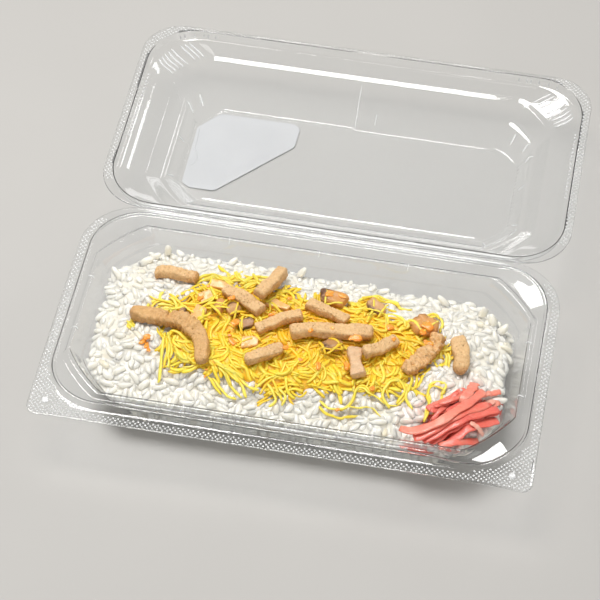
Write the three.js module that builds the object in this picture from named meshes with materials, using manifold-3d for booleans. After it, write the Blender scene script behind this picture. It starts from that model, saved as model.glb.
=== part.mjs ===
// An open takeaway pack of clear thermoformed sheet, hinged along its back, filled with rice.
// On the rice lie fine egg shreds, simmered beige strips, mushrooms, bamboo pieces and red ginger.
// Millimetres, +Z up. The origin is the centre of the tray's underside, the hinge runs along X.
import * as THREE from 'three';
import { mergeVertices } from 'three/addons/utils/BufferGeometryUtils.js';
import Module from 'manifold-3d';

const wasm = await Module();
wasm.setup();

// ---- driving dimensions ----
const PACK_LENGTH = 220;
const TRAY_DEPTH = 123;
const LID_DEPTH = 119.4;
const FLANGE_TOP = 26;
const SHEET = 0.5;
const HINGE_GAP = 0.3;
const LID_HEIGHT = 24.6;
const FIT_GAP = 0.35;
const RIM_RISE = 3.7;
const STEP_RISE = 2.8;
const RICE_EDGE = 18;
const RICE_CROWN = 6;
const GRAIN_LENGTH = 6.8;
const GRAIN_WIDTH = 2.9;
const RICE_PITCH = 3.4;
const LOOSE_GRAINS = 30;
const EGG_THICKNESS = 1.8;
const EGG_STRANDS = 27;
const GINGER_SHREDS = 9;
const CORNER_STEPS = 6;

const HALF_LENGTH = PACK_LENGTH / 2;
const HALF_DEPTH = TRAY_DEPTH / 2;
const LID_START = HALF_DEPTH + HINGE_GAP;
const RIM_TOP = FLANGE_TOP + RIM_RISE;

// ---- small helpers ----
function seeded(seed) {
  let state = seed >>> 0;
  return () => {
    state = (state + 0x6d2b79f5) >>> 0;
    let mixed = Math.imul(state ^ (state >>> 15), 1 | state);
    mixed = (mixed + Math.imul(mixed ^ (mixed >>> 7), 61 | mixed)) ^ mixed;
    return ((mixed ^ (mixed >>> 14)) >>> 0) / 4294967296;
  };
}

const clamp = (value, low, high) => Math.min(high, Math.max(low, value));
const between = (random, low, high) => low + (high - low) * random();

function smoothStep(value) {
  const t = clamp(value, 0, 1);
  return t * t * (3 - 2 * t);
}

function geometryOf(positions, indices) {
  const geometry = new THREE.BufferGeometry();
  geometry.setAttribute('position', new THREE.Float32BufferAttribute(positions, 3));
  geometry.setIndex(indices);
  return geometry;
}

function toSolid(geometry) {
  const bare = geometry.clone();
  bare.deleteAttribute('normal');
  bare.deleteAttribute('uv');
  const merged = mergeVertices(bare, 1e-4);
  return new wasm.Manifold(new wasm.Mesh({
    numProp: 3,
    vertProperties: new Float32Array(merged.attributes.position.array),
    triVerts: new Uint32Array(merged.index.array),
  }));
}

function toGeometry(solid) {
  const mesh = solid.getMesh();
  return geometryOf(Array.from(mesh.vertProperties), Array.from(mesh.triVerts));
}

// The largest connected piece, without the loose scraps that a cut leaves.
function mainPiece(solid) {
  return solid.decompose().reduce((best, piece) => (piece.volume() > best.volume() ? piece : best));
}

// Cuts one solid away from another, with the fitting gap left above it and on its four sides.
function cutClear(solid, other, gap = FIT_GAP) {
  const shifts = [[0, 0, 0], [0, 0, gap], [gap, 0, 0], [-gap, 0, 0], [0, gap, 0], [0, -gap, 0]];
  return shifts.reduce((left, shift) => left.subtract(other.translate(...shift)), solid);
}

function moved(geometry, { at = [0, 0, 0], yaw = 0, pitch = 0, roll = 0 }) {
  const turn = new THREE.Euler(roll, pitch, yaw, 'ZYX');
  const matrix = new THREE.Matrix4().makeRotationFromEuler(turn).setPosition(...at);
  return geometry.clone().applyMatrix4(matrix);
}

const degrees = THREE.MathUtils.degToRad;

// ---- the pack's sheet, lofted through level rings ----
// A ring is a rectangle with corners that are round (bend 2) or nearly straight cuts (bend 1).
function ringPoints(level) {
  const { half, front, back, z, frontCorner, backCorner, bend } = level;
  const corners = [
    { x: half, y: back, size: backCorner, turn: 0 },
    { x: -half, y: back, size: backCorner, turn: 1 },
    { x: -half, y: front, size: frontCorner, turn: 2 },
    { x: half, y: front, size: frontCorner, turn: 3 },
  ];
  const points = [];
  for (const corner of corners) {
    const [sizeX, sizeY] = corner.size;
    const centreX = corner.x - Math.sign(corner.x) * sizeX;
    const centreY = corner.y - (corner.turn < 2 ? 1 : -1) * sizeY;
    for (let step = 0; step <= CORNER_STEPS; step += 1) {
      const angle = (corner.turn + step / CORNER_STEPS) * Math.PI / 2;
      const across = Math.sign(Math.cos(angle)) * Math.abs(Math.cos(angle)) ** (2 / bend);
      const along = Math.sign(Math.sin(angle)) * Math.abs(Math.sin(angle)) ** (2 / bend);
      points.push([centreX + sizeX * across, centreY + sizeY * along, z]);
    }
  }
  return points;
}

// One closed body through a chain of rings, shut by a fan at the first and the last of them.
function loft(rings) {
  const count = rings[0].length;
  const positions = rings.flat(2);
  const indices = [];
  for (let level = 0; level + 1 < rings.length; level += 1) {
    for (let side = 0; side < count; side += 1) {
      const next = (side + 1) % count;
      const low = level * count;
      const high = low + count;
      indices.push(low + side, low + next, high + next, low + side, high + next, high + side);
    }
  }
  for (const [level, facesUp] of [[0, false], [rings.length - 1, true]]) {
    const ring = rings[level];
    const middle = positions.length / 3;
    const mean = [0, 1, 2].map((axis) => ring.reduce((sum, point) => sum + point[axis], 0) / count);
    positions.push(...mean);
    for (let side = 0; side < count; side += 1) {
      const edge = [level * count + side, level * count + (side + 1) % count];
      indices.push(middle, ...(facesUp ? edge : edge.reverse()));
    }
  }
  return geometryOf(positions, indices);
}

// The same levels, moved by a thickness to the underside of the sheet.
function underside(levels, thickness) {
  const normals = levels.slice(1).map((level, i) => {
    const run = [level.half - levels[i].half, level.z - levels[i].z];
    const length = Math.hypot(...run);
    return [run[1] / length, -run[0] / length];
  });
  return levels.map((level, i) => {
    const before = normals[Math.max(i - 1, 0)];
    const after = i === levels.length - 1 ? [0, 1] : normals[i];
    const first = i === 0 ? after : before;
    const sum = [first[0] + after[0], first[1] + after[1]];
    const length = Math.hypot(...sum);
    const reach = thickness / Math.max(0.6, (sum[0] * after[0] + sum[1] * after[1]) / length);
    const out = -sum[0] / length * reach;
    return {
      ...level,
      half: level.half + out,
      front: level.front - out,
      back: level.back + out,
      z: level.z - sum[1] / length * reach,
    };
  });
}

function sheetFrom(levels) {
  const below = underside(levels, SHEET).reverse();
  return loft([...below, ...levels].map(ringPoints));
}

// ---- levels of the tray, from the flange's edge in to the floor ----
const OCTAGON_CORNER = [19.5, 21];
const WALL_FOOT = { half: 81.5, front: -39.8, back: 38.2, z: 2.6 };
const RIM_EDGE = { half: 98.2, front: -48, back: 46.6, z: RIM_TOP };

function trayLevels() {
  const round = (size) => ({ frontCorner: [size, size], backCorner: [size, size], bend: 2 });
  const octagon = { frontCorner: OCTAGON_CORNER, backCorner: OCTAGON_CORNER, bend: 1.18 };
  const foot = { frontCorner: [16, 15], backCorner: [16, 15], bend: 1.3 };
  return [
    { half: HALF_LENGTH, front: -HALF_DEPTH, back: HALF_DEPTH, z: FLANGE_TOP,
      frontCorner: [5, 5], backCorner: [26, 26], bend: 2 },
    { half: 105.2, front: -54.9, back: 57.4, z: FLANGE_TOP, ...round(24) },
    { half: 104.4, front: -54.1, back: 56.6, z: FLANGE_TOP + STEP_RISE, ...round(23.2) },
    { half: 100.6, front: -50.4, back: 49, z: FLANGE_TOP + STEP_RISE - 0.2, ...octagon },
    { half: 99.6, front: -49.4, back: 48, z: RIM_TOP, ...octagon },
    { ...RIM_EDGE, ...octagon },
    { half: 96.4, front: -47, back: 45.6, z: RIM_TOP - 3.2, ...octagon },
    { ...WALL_FOOT, ...foot },
    { half: 79.6, front: -38.2, back: 36.6, z: SHEET, ...foot },
  ];
}

// ---- levels of the open lid, from its flange down to its top panel, which lies lowest ----
function lidLevels() {
  const at = (inset, insetNear, insetFar, depth, corner, bend) => ({
    half: HALF_LENGTH - inset,
    front: LID_START + insetNear,
    back: LID_START + LID_DEPTH - insetFar,
    z: FLANGE_TOP - depth,
    frontCorner: corner,
    backCorner: corner,
    bend,
  });
  return [
    { ...at(0, 0, 0, 0, [22, 22], 2), backCorner: [19, 19] },
    at(3.8, 3.3, 1.9, 0, [23, 23], 2),
    at(4.4, 3.8, 2.4, 4.6, [22.6, 22.6], 2),
    at(6, 5.4, 3.8, 5.1, [22, 22], 2),
    at(15.6, 8.6, 7.6, 10.6, [24, 22], 1.25),
    at(17.4, 10.6, 9.6, 11.2, [23, 21], 1.2),
    at(23.6, 18.2, 17.4, 16.6, [20, 18], 1.2),
    at(25.4, 20.4, 19.6, 17.2, [19, 17], 1.2),
    at(30.4, 28.6, 28.2, LID_HEIGHT - 0.8, [15, 12], 1.2),
    at(31.4, 29.8, 29.4, LID_HEIGHT, [14.5, 11.5], 1.2),
  ];
}

// ---- the rice ----
const GRAIN_CELL = 3.3;
const GRAIN_RELIEF = 1.25;

function cellRandom(column, row) {
  return seeded((column + 512) * 7919 + (row + 512) * 104729);
}

// Bumps the size of grains that lie every way, as the height of the highest one over a point.
function grainRelief(x, y) {
  const column = Math.floor(x / GRAIN_CELL);
  const row = Math.floor(y / GRAIN_CELL);
  let highest = 0;
  for (let i = column - 1; i <= column + 1; i += 1) {
    for (let j = row - 1; j <= row + 1; j += 1) {
      const random = cellRandom(i, j);
      const dx = x - (i + random()) * GRAIN_CELL;
      const dy = y - (j + random()) * GRAIN_CELL;
      const yaw = random() * Math.PI;
      const lift = random() * 0.6;
      const along = (dx * Math.cos(yaw) + dy * Math.sin(yaw)) / (GRAIN_LENGTH / 2);
      const across = (dy * Math.cos(yaw) - dx * Math.sin(yaw)) / (GRAIN_WIDTH / 2);
      const inside = 1 - along * along - across * across;
      if (inside > 0) highest = Math.max(highest, (lift + Math.sqrt(inside)) * GRAIN_RELIEF);
    }
  }
  return highest;
}

// How far a point is inside the basin's octagon, measured from its nearest side.
function insideBasin(x, y) {
  const { half, front, back } = RIM_EDGE;
  const [cutX, cutY] = OCTAGON_CORNER;
  const sideX = half - Math.abs(x);
  const sideY = y > 0 ? back - y : y - front;
  const corner = (sideX * cutY + sideY * cutX - cutX * cutY) / Math.hypot(cutX, cutY);
  return Math.min(sideX, sideY, corner);
}

// The smooth top of the rice: a low mound, a little higher at the ends than along the back.
function riceCore(x, y) {
  const rise = RICE_CROWN * smoothStep((insideBasin(x, y) - 4) / 26);
  const ends = 1.8 * smoothStep((Math.abs(x) - 62) / 24);
  const waves = 0.7 * Math.sin(x / 15 + 0.6) * Math.cos(y / 11 - 0.4);
  return RICE_EDGE - 1 + rise + ends * (y < 28 ? 1 : 0.3) + waves - 0.02 * Math.max(0, y);
}

// Where the egg shreds lie: an uneven oval, as a number that is 1 in the middle and 0 at its edge.
const EGG_MIDDLE = [-4, -0.5];
const EGG_REACH = [72, 33];
const EGG_SQUARENESS = 2.6;

function eggCover(x, y) {
  const along = (x - EGG_MIDDLE[0]) / EGG_REACH[0];
  const across = (y - EGG_MIDDLE[1]) / EGG_REACH[1];
  const angle = Math.atan2(across, along);
  const slow = 0.05 * Math.sin(3 * angle + 1.2);
  const quick = 0.05 * Math.sin(7 * angle) + 0.03 * Math.cos(11 * angle);
  const power = EGG_SQUARENESS;
  const reach = (Math.abs(along) ** power + Math.abs(across) ** power) ** (1 / power);
  return 1 - reach / (1 + slow + quick);
}

// Where the ginger lies: an oval on the diagonal of the front right corner.
const GINGER_MIDDLE = [72.5, -28];
const GINGER_YAW = degrees(40);

function gingerCover(x, y) {
  const dx = x - GINGER_MIDDLE[0];
  const dy = y - GINGER_MIDDLE[1];
  const along = (dx * Math.cos(GINGER_YAW) + dy * Math.sin(GINGER_YAW)) / 26;
  const across = (dy * Math.cos(GINGER_YAW) - dx * Math.sin(GINGER_YAW)) / 11;
  return 1 - Math.hypot(along, across);
}

// Grain relief dies out under the toppings, where nothing of it shows.
function riceTop(x, y) {
  const underEgg = smoothStep(eggCover(x, y) * 12 + 1.6);
  const underGinger = smoothStep(gingerCover(x, y) * 6 + 1.9);
  return riceCore(x, y) + (1 - Math.max(underEgg, underGinger)) * grainRelief(x, y);
}

// A closed block over a grid, with a top and a bottom that follow a height each.
function heightBlock({ x0, x1, y0, y1, pitch, top, bottom }) {
  const columns = Math.round((x1 - x0) / pitch);
  const rows = Math.round((y1 - y0) / pitch);
  const wide = columns + 1;
  const layer = wide * (rows + 1);
  const positions = [];
  for (const height of [top, bottom]) {
    for (let j = 0; j <= rows; j += 1) {
      for (let i = 0; i <= columns; i += 1) {
        const x = x0 + (x1 - x0) * i / columns;
        const y = y0 + (y1 - y0) * j / rows;
        positions.push(x, y, height(x, y));
      }
    }
  }
  const indices = [];
  const quad = (a, b, c, d) => indices.push(a, b, c, a, c, d);
  const id = (i, j) => j * wide + i;
  for (let j = 0; j < rows; j += 1) {
    for (let i = 0; i < columns; i += 1) {
      quad(id(i, j), id(i + 1, j), id(i + 1, j + 1), id(i, j + 1));
      quad(layer + id(i, j), layer + id(i, j + 1), layer + id(i + 1, j + 1), layer + id(i + 1, j));
    }
  }
  for (let i = 0; i < columns; i += 1) {
    quad(layer + id(i, 0), layer + id(i + 1, 0), id(i + 1, 0), id(i, 0));
    quad(layer + id(i + 1, rows), layer + id(i, rows), id(i, rows), id(i + 1, rows));
  }
  for (let j = 0; j < rows; j += 1) {
    quad(layer + id(0, j + 1), layer + id(0, j), id(0, j), id(0, j + 1));
    quad(layer + id(columns, j), layer + id(columns, j + 1), id(columns, j + 1), id(columns, j));
  }
  return toSolid(geometryOf(positions, indices));
}

// A grain: a five-sided spindle with blunt ends.
function grain(size) {
  const profile = [[0, -0.5], [0.36, -0.36], [0.5, 0], [0.36, 0.36], [0, 0.5]];
  const [width, length] = [GRAIN_WIDTH * size, GRAIN_LENGTH * size];
  const outline = profile.map(([r, h]) => new THREE.Vector2(r * width, h * length));
  return new THREE.LatheGeometry(outline, 5).rotateZ(Math.PI / 2);
}

// The space inside the basin's walls, from the rim down to the floor, less the fitting gap.
function basinSpace() {
  const walls = trayLevels().slice(-4);
  const inner = walls.map((level) => ({
    ...level,
    half: level.half - FIT_GAP,
    front: level.front + FIT_GAP,
    back: level.back - FIT_GAP,
  }));
  inner.at(-1).z += FIT_GAP;
  return toSolid(loft(inner.reverse().map(ringPoints)));
}

// The blocks with grain relief: the two ends, the front and the back, round the hidden middle.
const GRAIN_BLOCKS = [
  { x0: -99, x1: -63, y0: -51, y1: 48 },
  { x0: 57, x1: 99, y0: -51, y1: 48 },
  { x0: -63, x1: 57, y0: -51, y1: -24 },
  { x0: -63, x1: 57, y0: 24, y1: 48 },
];

function riceSolid() {
  const middle = { x0: -66, x1: 60, y0: -28, y1: 28, pitch: 8 };
  const core = heightBlock({ ...middle, top: riceCore, bottom: () => -5 });
  const bulk = GRAIN_BLOCKS.reduce((whole, block) => (
    whole.add(heightBlock({ ...block, pitch: RICE_PITCH, top: riceTop, bottom: () => -5 }))
  ), core);
  let rice = basinSpace().intersect(bulk);
  const random = seeded(41);
  for (let placed = 0, tries = 0; placed < LOOSE_GRAINS && tries < 4000; tries += 1) {
    const [x, y] = [between(random, -90, 90), between(random, -44, 42)];
    const place = { at: [x, y, riceCore(x, y) + 2], yaw: random() * Math.PI, pitch: between(random, -0.5, 0.5) };
    if (insideBasin(x, y) < 8 || eggCover(x, y) > -0.1 || gingerCover(x, y) > -0.45) continue;
    rice = rice.add(toSolid(moved(grain(between(random, 0.92, 1.08)), place)));
    placed += 1;
  }
  return mainPiece(rice);
}

// ---- long pieces: a section swept along a curve ----
function swept({ path, width, height, sides, steps, bevel = 0.7, twist = 0 }) {
  const curve = new THREE.CatmullRomCurve3(path.map((point) => new THREE.Vector3(...point)));
  const up = new THREE.Vector3(0, 0, 1);
  const rings = [];
  for (let step = 0; step <= steps; step += 1) {
    const t = step / steps;
    const middle = curve.getPoint(t);
    const forward = curve.getTangent(t);
    const side = new THREE.Vector3().crossVectors(up, forward).normalize();
    const lift = new THREE.Vector3().crossVectors(forward, side).normalize();
    const blunt = step === 0 || step === steps ? bevel : 1;
    const ring = [];
    for (let corner = 0; corner < sides; corner += 1) {
      const angle = (corner + 0.5) / sides * Math.PI * 2 + twist * t;
      const across = Math.cos(angle) * width / 2 * blunt;
      const above = Math.sin(angle) * height / 2 * blunt;
      const point = middle.clone().addScaledVector(side, across).addScaledVector(lift, above);
      ring.push([point.x, point.y, point.z]);
    }
    rings.push(ring);
  }
  return loft(rings);
}

// A loose ribbon that wanders over a surface, from a start, a heading and a length.
function ribbon(random, { start, heading, length, width, thick, surface, sides = 4, curl = 0.5, lift = 0.2 }) {
  const steps = 4;
  const path = [];
  let [x, y] = start;
  let yaw = heading;
  const bend = between(random, -curl, curl);
  for (let step = 0; step <= steps; step += 1) {
    path.push([x, y, surface(x, y) + lift]);
    x += Math.cos(yaw) * length / steps;
    y += Math.sin(yaw) * length / steps;
    yaw += bend + between(random, -0.25, 0.25);
  }
  return swept({ path, width, height: thick, sides, steps, bevel: 0.8 });
}

// ---- the egg: a thin bed with strands over it, and specks of carrot ----
const EGG_UNDER = 0.35;
const CARROT_SPECKS = [
  { at: [-66.5, -15.5], size: [5.4, 2.2, 1.4], yaw: 75 },
  { at: [-37.8, -24.6], size: [2.2, 1.6, 1.2], yaw: 10 },
  { at: [9, -13.7], size: [2.8, 1.8, 1.3], yaw: 40 },
  { at: [23.1, -13.2], size: [2.4, 1.7, 1.2], yaw: -20 },
  { at: [35.2, -21.4], size: [2.3, 1.8, 1.2], yaw: 60 },
  { at: [20, -28.4], size: [2.4, 1.6, 1.2], yaw: 15 },
  { at: [-24.6, 6.8], size: [3.4, 2, 1.3], yaw: -35 },
  { at: [15.5, 21.2], size: [3.2, 2, 1.3], yaw: 25 },
];

function eggTop(x, y) {
  const thickness = EGG_THICKNESS * smoothStep(eggCover(x, y) * 5 + 0.35);
  return riceCore(x, y) + EGG_UNDER + Math.max(0.5, thickness);
}

// The egg's outline as a prism that trims its bed.
function eggOutline() {
  const corners = 44;
  const outline = Array.from({ length: corners }, (_, i) => {
    const angle = i / corners * Math.PI * 2;
    const at = (radius) => [EGG_MIDDLE[0] + Math.cos(angle) * radius, EGG_MIDDLE[1] + Math.sin(angle) * radius];
    let radius = 20;
    while (eggCover(...at(radius)) > 0) radius += 0.5;
    return new THREE.Vector2(...at(radius));
  });
  return toSolid(new THREE.ExtrudeGeometry(new THREE.Shape(outline), { depth: 40, bevelEnabled: false }));
}

const crosses = (solid, other) => solid.intersect(other).volume() > 1e-6;

function eggSolid(rice) {
  const reach = { x0: -84, x1: 77, y0: -38.5, y1: 38.5, pitch: 7 };
  const under = (x, y) => riceCore(x, y) + EGG_UNDER;
  let egg = heightBlock({ ...reach, top: eggTop, bottom: under }).intersect(eggOutline());
  const raised = rice.translate(0, 0, FIT_GAP);
  const random = seeded(97);
  for (let placed = 0, tries = 0; placed < EGG_STRANDS && tries < 2000; tries += 1) {
    const start = [between(random, -76, 66), between(random, -34, 33)];
    const heading = random() * Math.PI * 2;
    const length = between(random, 15, 26);
    const half = length / 2;
    const middle = [start[0] + Math.cos(heading) * half, start[1] + Math.sin(heading) * half];
    if (eggCover(...start) < 0.02 || eggCover(...middle) < 0.02) continue;
    const strand = toSolid(ribbon(random, {
      start, heading, length, width: 1.9, thick: 1.6, surface: eggTop, curl: 0.55, lift: 0.8,
    }));
    if (crosses(strand, raised)) continue;
    egg = egg.add(strand);
    placed += 1;
  }
  for (const speck of CARROT_SPECKS) {
    const at = [...speck.at, eggTop(...speck.at) + 0.3];
    const block = toSolid(moved(new THREE.BoxGeometry(...speck.size), { at, yaw: degrees(speck.yaw) }));
    if (!crosses(block, raised)) egg = egg.add(block);
  }
  return mainPiece(egg);
}

// ---- the ginger: a small drift with shreds that run along it ----
function gingerTop(x, y) {
  return riceCore(x, y) + FIT_GAP + Math.max(0.4, 3.8 * smoothStep(gingerCover(x, y) * 2.4));
}

// A plan point of the ginger, from how far it lies along and across the drift.
function gingerPoint(along, across) {
  return [
    GINGER_MIDDLE[0] + along * Math.cos(GINGER_YAW) - across * Math.sin(GINGER_YAW),
    GINGER_MIDDLE[1] + along * Math.sin(GINGER_YAW) + across * Math.cos(GINGER_YAW),
  ];
}

function gingerSolid(rice, space) {
  const corners = 18;
  const outline = Array.from({ length: corners }, (_, i) => {
    const angle = i / corners * Math.PI * 2;
    return new THREE.Vector2(...gingerPoint(Math.cos(angle) * 22.5, Math.sin(angle) * 9));
  });
  const prism = new THREE.ExtrudeGeometry(new THREE.Shape(outline), { depth: 40, bevelEnabled: false });
  const reach = { x0: 48, x1: 96, y0: -50, y1: -2, pitch: 6 };
  const under = (x, y) => riceCore(x, y) + FIT_GAP;
  const bed = heightBlock({ ...reach, top: gingerTop, bottom: under });
  let ginger = bed.intersect(toSolid(prism)).intersect(space);
  const raised = rice.translate(0, 0, FIT_GAP);
  const random = seeded(23);
  for (let placed = 0, tries = 0; placed < GINGER_SHREDS && tries < 400; tries += 1) {
    const length = between(random, 18, 30);
    const start = gingerPoint(between(random, -22, 4), (placed / (GINGER_SHREDS - 1) - 0.5) * 15);
    const heading = GINGER_YAW + between(random, -0.22, 0.22);
    const width = between(random, 2.2, 3.2);
    const shred = toSolid(ribbon(random, {
      start, heading, length, width, thick: 1.8, surface: gingerTop, curl: 0.08, lift: between(random, 0.5, 1.2),
    }));
    if (crosses(shred, raised) || shred.subtract(space).volume() > 1e-6) continue;
    ginger = ginger.add(shred);
    placed += 1;
  }
  return mainPiece(ginger);
}

// ---- toppings that lie loose on the egg ----
// A strip is given by its width, its height and the plan points of its middle line.
const strip = (name, width, height, ...plan) => ({ name, width, height, plan });
const STRIPS = [
  strip('strip_01', 5.6, 4.4, [-72, 24.4], [-62, 24.6], [-51.8, 23.6]),
  strip('strip_02', 7.4, 5.4, [-77, -2.2], [-68, -2.6], [-59, -3.4]),
  strip('strip_03', 6.4, 4.8, [-62, -7], [-53.6, -3.4], [-46, -7.6], [-41.6, -15.2], [-40, -24.6]),
  strip('strip_04', 5.6, 4.6, [-38.6, 18.4], [-29, 14.6], [-19.6, 9.2]),
  strip('strip_05', 5.8, 5, [-15, 36], [-18, 25.6], [-22.6, 14.4]),
  strip('strip_06', 5.2, 4.4, [-20.4, -0.6], [-11, 6.2], [-1.6, 10.4]),
  strip('strip_08', 5.8, 4.6, [-0.8, 17.4], [8.6, 14.6], [18.4, 11]),
  strip('strip_09', 6.6, 5.2, [-5, -1.2], [4, 2.4], [18, 4.4], [31, 5.6]),
  strip('strip_07', 5.8, 4.6, [-21.6, -19.6], [-14, -14.8], [-6.6, -9]),
  strip('strip_10', 5.8, 4.8, [28.8, -7.4], [35.4, -1.8], [42, 4.8]),
  strip('strip_11', 6.6, 4.8, [47.4, -12.2], [53.4, -4.2], [57.8, 3.2], [59.8, 11]),
  strip('strip_12', 8, 5.8, [67.6, 13.4], [70.6, 3], [71.6, -7.6]),
];

// The height of whatever lies highest under a plan point.
function heightUnder(mesh, x, y) {
  const ray = new THREE.Raycaster(new THREE.Vector3(x, y, 90), new THREE.Vector3(0, 0, -1));
  const hit = ray.intersectObject(mesh)[0];
  return hit ? hit.point.z : 0;
}

// A strip is soft, so its middle line follows what it lies on.
function stripShape({ plan, width, height }, support, index) {
  const below = new THREE.Mesh(toGeometry(support), new THREE.MeshBasicMaterial());
  const reach = width * 0.3;
  const path = plan.map(([x, y]) => {
    const spots = [[0, 0], [reach, 0], [-reach, 0], [0, reach], [0, -reach]];
    const highest = Math.max(...spots.map(([dx, dy]) => heightUnder(below, x + dx, y + dy)));
    return [x, y, highest + height / 2];
  });
  return swept({ path, width, height, sides: 6, steps: 5, bevel: 0.62, twist: (index % 3 - 1) * 0.5 });
}

// A mushroom cap or slice is a shallow dome, longer one way, lying at a tilt.
const CAPS = [
  { name: 'mushroom_01', at: [-25.4, 2.4], size: [8, 5, 3], yaw: 30, tilt: 12 },
  { name: 'mushroom_02', at: [14, -3.2], size: [9.6, 8, 4.2], yaw: 10, tilt: -14 },
  { name: 'mushroom_04', at: [9.8, 24], size: [14.5, 7, 4], yaw: -8, tilt: 10 },
  { name: 'mushroom_05', at: [29.2, 22.4], size: [9.4, 6, 3.4], yaw: -24, tilt: 16 },
  { name: 'mushroom_06', at: [-54.8, 3.2], size: [6.4, 3, 2.6], yaw: 70, tilt: 8 },
  { name: 'mushroom_07', at: [-32.8, 9], size: [7.2, 6, 3.6], yaw: 48, tilt: 14 },
  { name: 'mushroom_08', at: [51.8, 16], size: [14, 10, 5], yaw: -32, tilt: 8 },
  { name: 'mushroom_09', at: [-39, 9.2], size: [8, 4.6, 3.2], yaw: 80, tilt: -12 },
];

function capShape({ size, yaw, tilt }) {
  const [length, width, height] = size;
  const outline = [[0, 0.12], [0.34, 0], [0.5, 0.16], [0.44, 0.62], [0.24, 0.92], [0, 1]];
  const points = outline.map(([r, h]) => new THREE.Vector2(r, h));
  const dome = new THREE.LatheGeometry(points, 9).rotateX(Math.PI / 2).scale(length, width, height);
  return moved(dome, { yaw: degrees(yaw), roll: degrees(tilt) });
}

// A thick pale stem on its side, wider at its cut foot.
const STEM = { plan: [[24, -3.8], [26, -10.4], [28.6, -17.8]], width: 6.8, height: 4.6 };

const BAMBOO = [
  { name: 'bamboo_01', at: [-46, 14], size: [6.6, 6, 2.6], yaw: 38, tilt: 10 },
  { name: 'bamboo_02', at: [-47.6, 3.2], size: [9, 6.4, 2.8], yaw: 72, tilt: -8 },
  { name: 'bamboo_03', at: [-21.8, -7.4], size: [7.6, 6.4, 2.6], yaw: 18, tilt: 10 },
  { name: 'bamboo_04', at: [-41.2, 22.4], size: [10.4, 4.4, 2.4], yaw: -8, tilt: 8 },
  { name: 'bamboo_05', at: [-13.6, 16], size: [9, 5.6, 2.6], yaw: -14, tilt: -6 },
];

// A chunk cut from a stem: a five-sided slab, thicker along one edge.
function bambooShape({ size, yaw, tilt }) {
  const [length, width, height] = size;
  const outline = [[-0.5, -0.3], [0.1, -0.5], [0.5, -0.2], [0.42, 0.46], [-0.36, 0.5]];
  const shape = new THREE.Shape(outline.map(([x, y]) => new THREE.Vector2(x * length, y * width)));
  const bevel = { depth: height - 1, bevelThickness: 0.5, bevelSize: 0.5, bevelSegments: 1, steps: 1 };
  return moved(new THREE.ExtrudeGeometry(shape, bevel), { yaw: degrees(yaw), roll: degrees(tilt) });
}

// Lifts a piece in small steps until it clears everything under it, then returns it in place.
function settle(geometry, at, support) {
  const step = 0.2;
  const raised = support.translate(0, 0, FIT_GAP);
  let solid = toSolid(geometry).translate(...at);
  for (let tries = 0; tries < 120; tries += 1) {
    if (solid.intersect(raised).volume() < 1e-6) return solid;
    solid = solid.translate(0, 0, step);
  }
  throw new Error('a topping found no free place');
}

// ---- the sticker under the lid's top panel ----
const STICKER_THICKNESS = 0.25;
const STICKER_CORNERS = [
  [-78, 102], [-74, 99.4], [-61.6, 99.4], [-29, 134.4],
  [-28.6, 146.6], [-31.4, 149.6], [-68.6, 149.6], [-78.2, 138.6],
];

function stickerShape() {
  const shape = new THREE.Shape(STICKER_CORNERS.map(([x, y]) => new THREE.Vector2(x, y)));
  const slab = new THREE.ExtrudeGeometry(shape, { depth: STICKER_THICKNESS, bevelEnabled: false });
  return slab.translate(0, 0, FLANGE_TOP - LID_HEIGHT - SHEET - HINGE_GAP - STICKER_THICKNESS);
}

// ---- the object ----
const clearSheet = () => new THREE.MeshStandardMaterial({
  color: 0xe8eef0, roughness: 0.06, metalness: 0, transparent: true, opacity: 0.25,
});
const food = (color, roughness = 0.5) => new THREE.MeshStandardMaterial({ color, roughness, metalness: 0 });

const pack = new THREE.Group();

function put(name, geometry, material) {
  const mesh = new THREE.Mesh(geometry, material);
  mesh.name = name;
  pack.add(mesh);
}

// The basin, and the open air over it inside the rim.
const airPlan = { x0: -92, x1: 92, y0: -44, y1: 43, pitch: 90 };
const airOver = heightBlock({ ...airPlan, top: () => RIM_TOP + 30, bottom: () => RIM_TOP - 1 });
const foodSpace = basinSpace().add(airOver);
const rice = riceSolid();
const ginger = gingerSolid(rice, foodSpace);
const egg = mainPiece(cutClear(eggSolid(rice), ginger));

put('tray', sheetFrom(trayLevels()), clearSheet());
put('lid', sheetFrom(lidLevels()), clearSheet());
put('sticker', stickerShape(), food(0xd9d9de, 0.6));
put('rice', toGeometry(rice), food(0xf2eee6, 0.4));
put('egg_shreds', toGeometry(egg), food(0xf3cf3a, 0.45));
put('red_ginger', toGeometry(ginger), food(0xe2504a, 0.35));

let support = rice.add(egg).add(ginger);

function rest(name, geometry, at, material) {
  const solid = settle(geometry, at, support);
  support = support.add(solid);
  put(name, toGeometry(solid), material);
}

for (const piece of BAMBOO) {
  rest(piece.name, bambooShape(piece), [...piece.at, riceCore(...piece.at) + 1.5], food(0xf0cfa8, 0.4));
}
for (const cap of CAPS) {
  rest(cap.name, capShape(cap), [...cap.at, riceCore(...cap.at) + 1.5], food(0x6b4a35, 0.35));
}
rest('mushroom_03', stripShape(STEM, support, 1), [0, 0, 0], food(0xd9bfa0, 0.4));
STRIPS.forEach((piece, index) => {
  rest(piece.name, stripShape(piece, support, index), [0, 0, 0], food(0xd8b58a, 0.6));
});

export default pack;
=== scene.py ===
"""An open clear takeaway pack of rice, egg shreds, simmered toppings and ginger, dressed over its CAD model.

Shapes are worked out in millimetres in the CAD frame and turned into metres when a mesh is made.
"""

import math

import bpy
import numpy as np
from mathutils import Matrix, Quaternion, Vector


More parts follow.
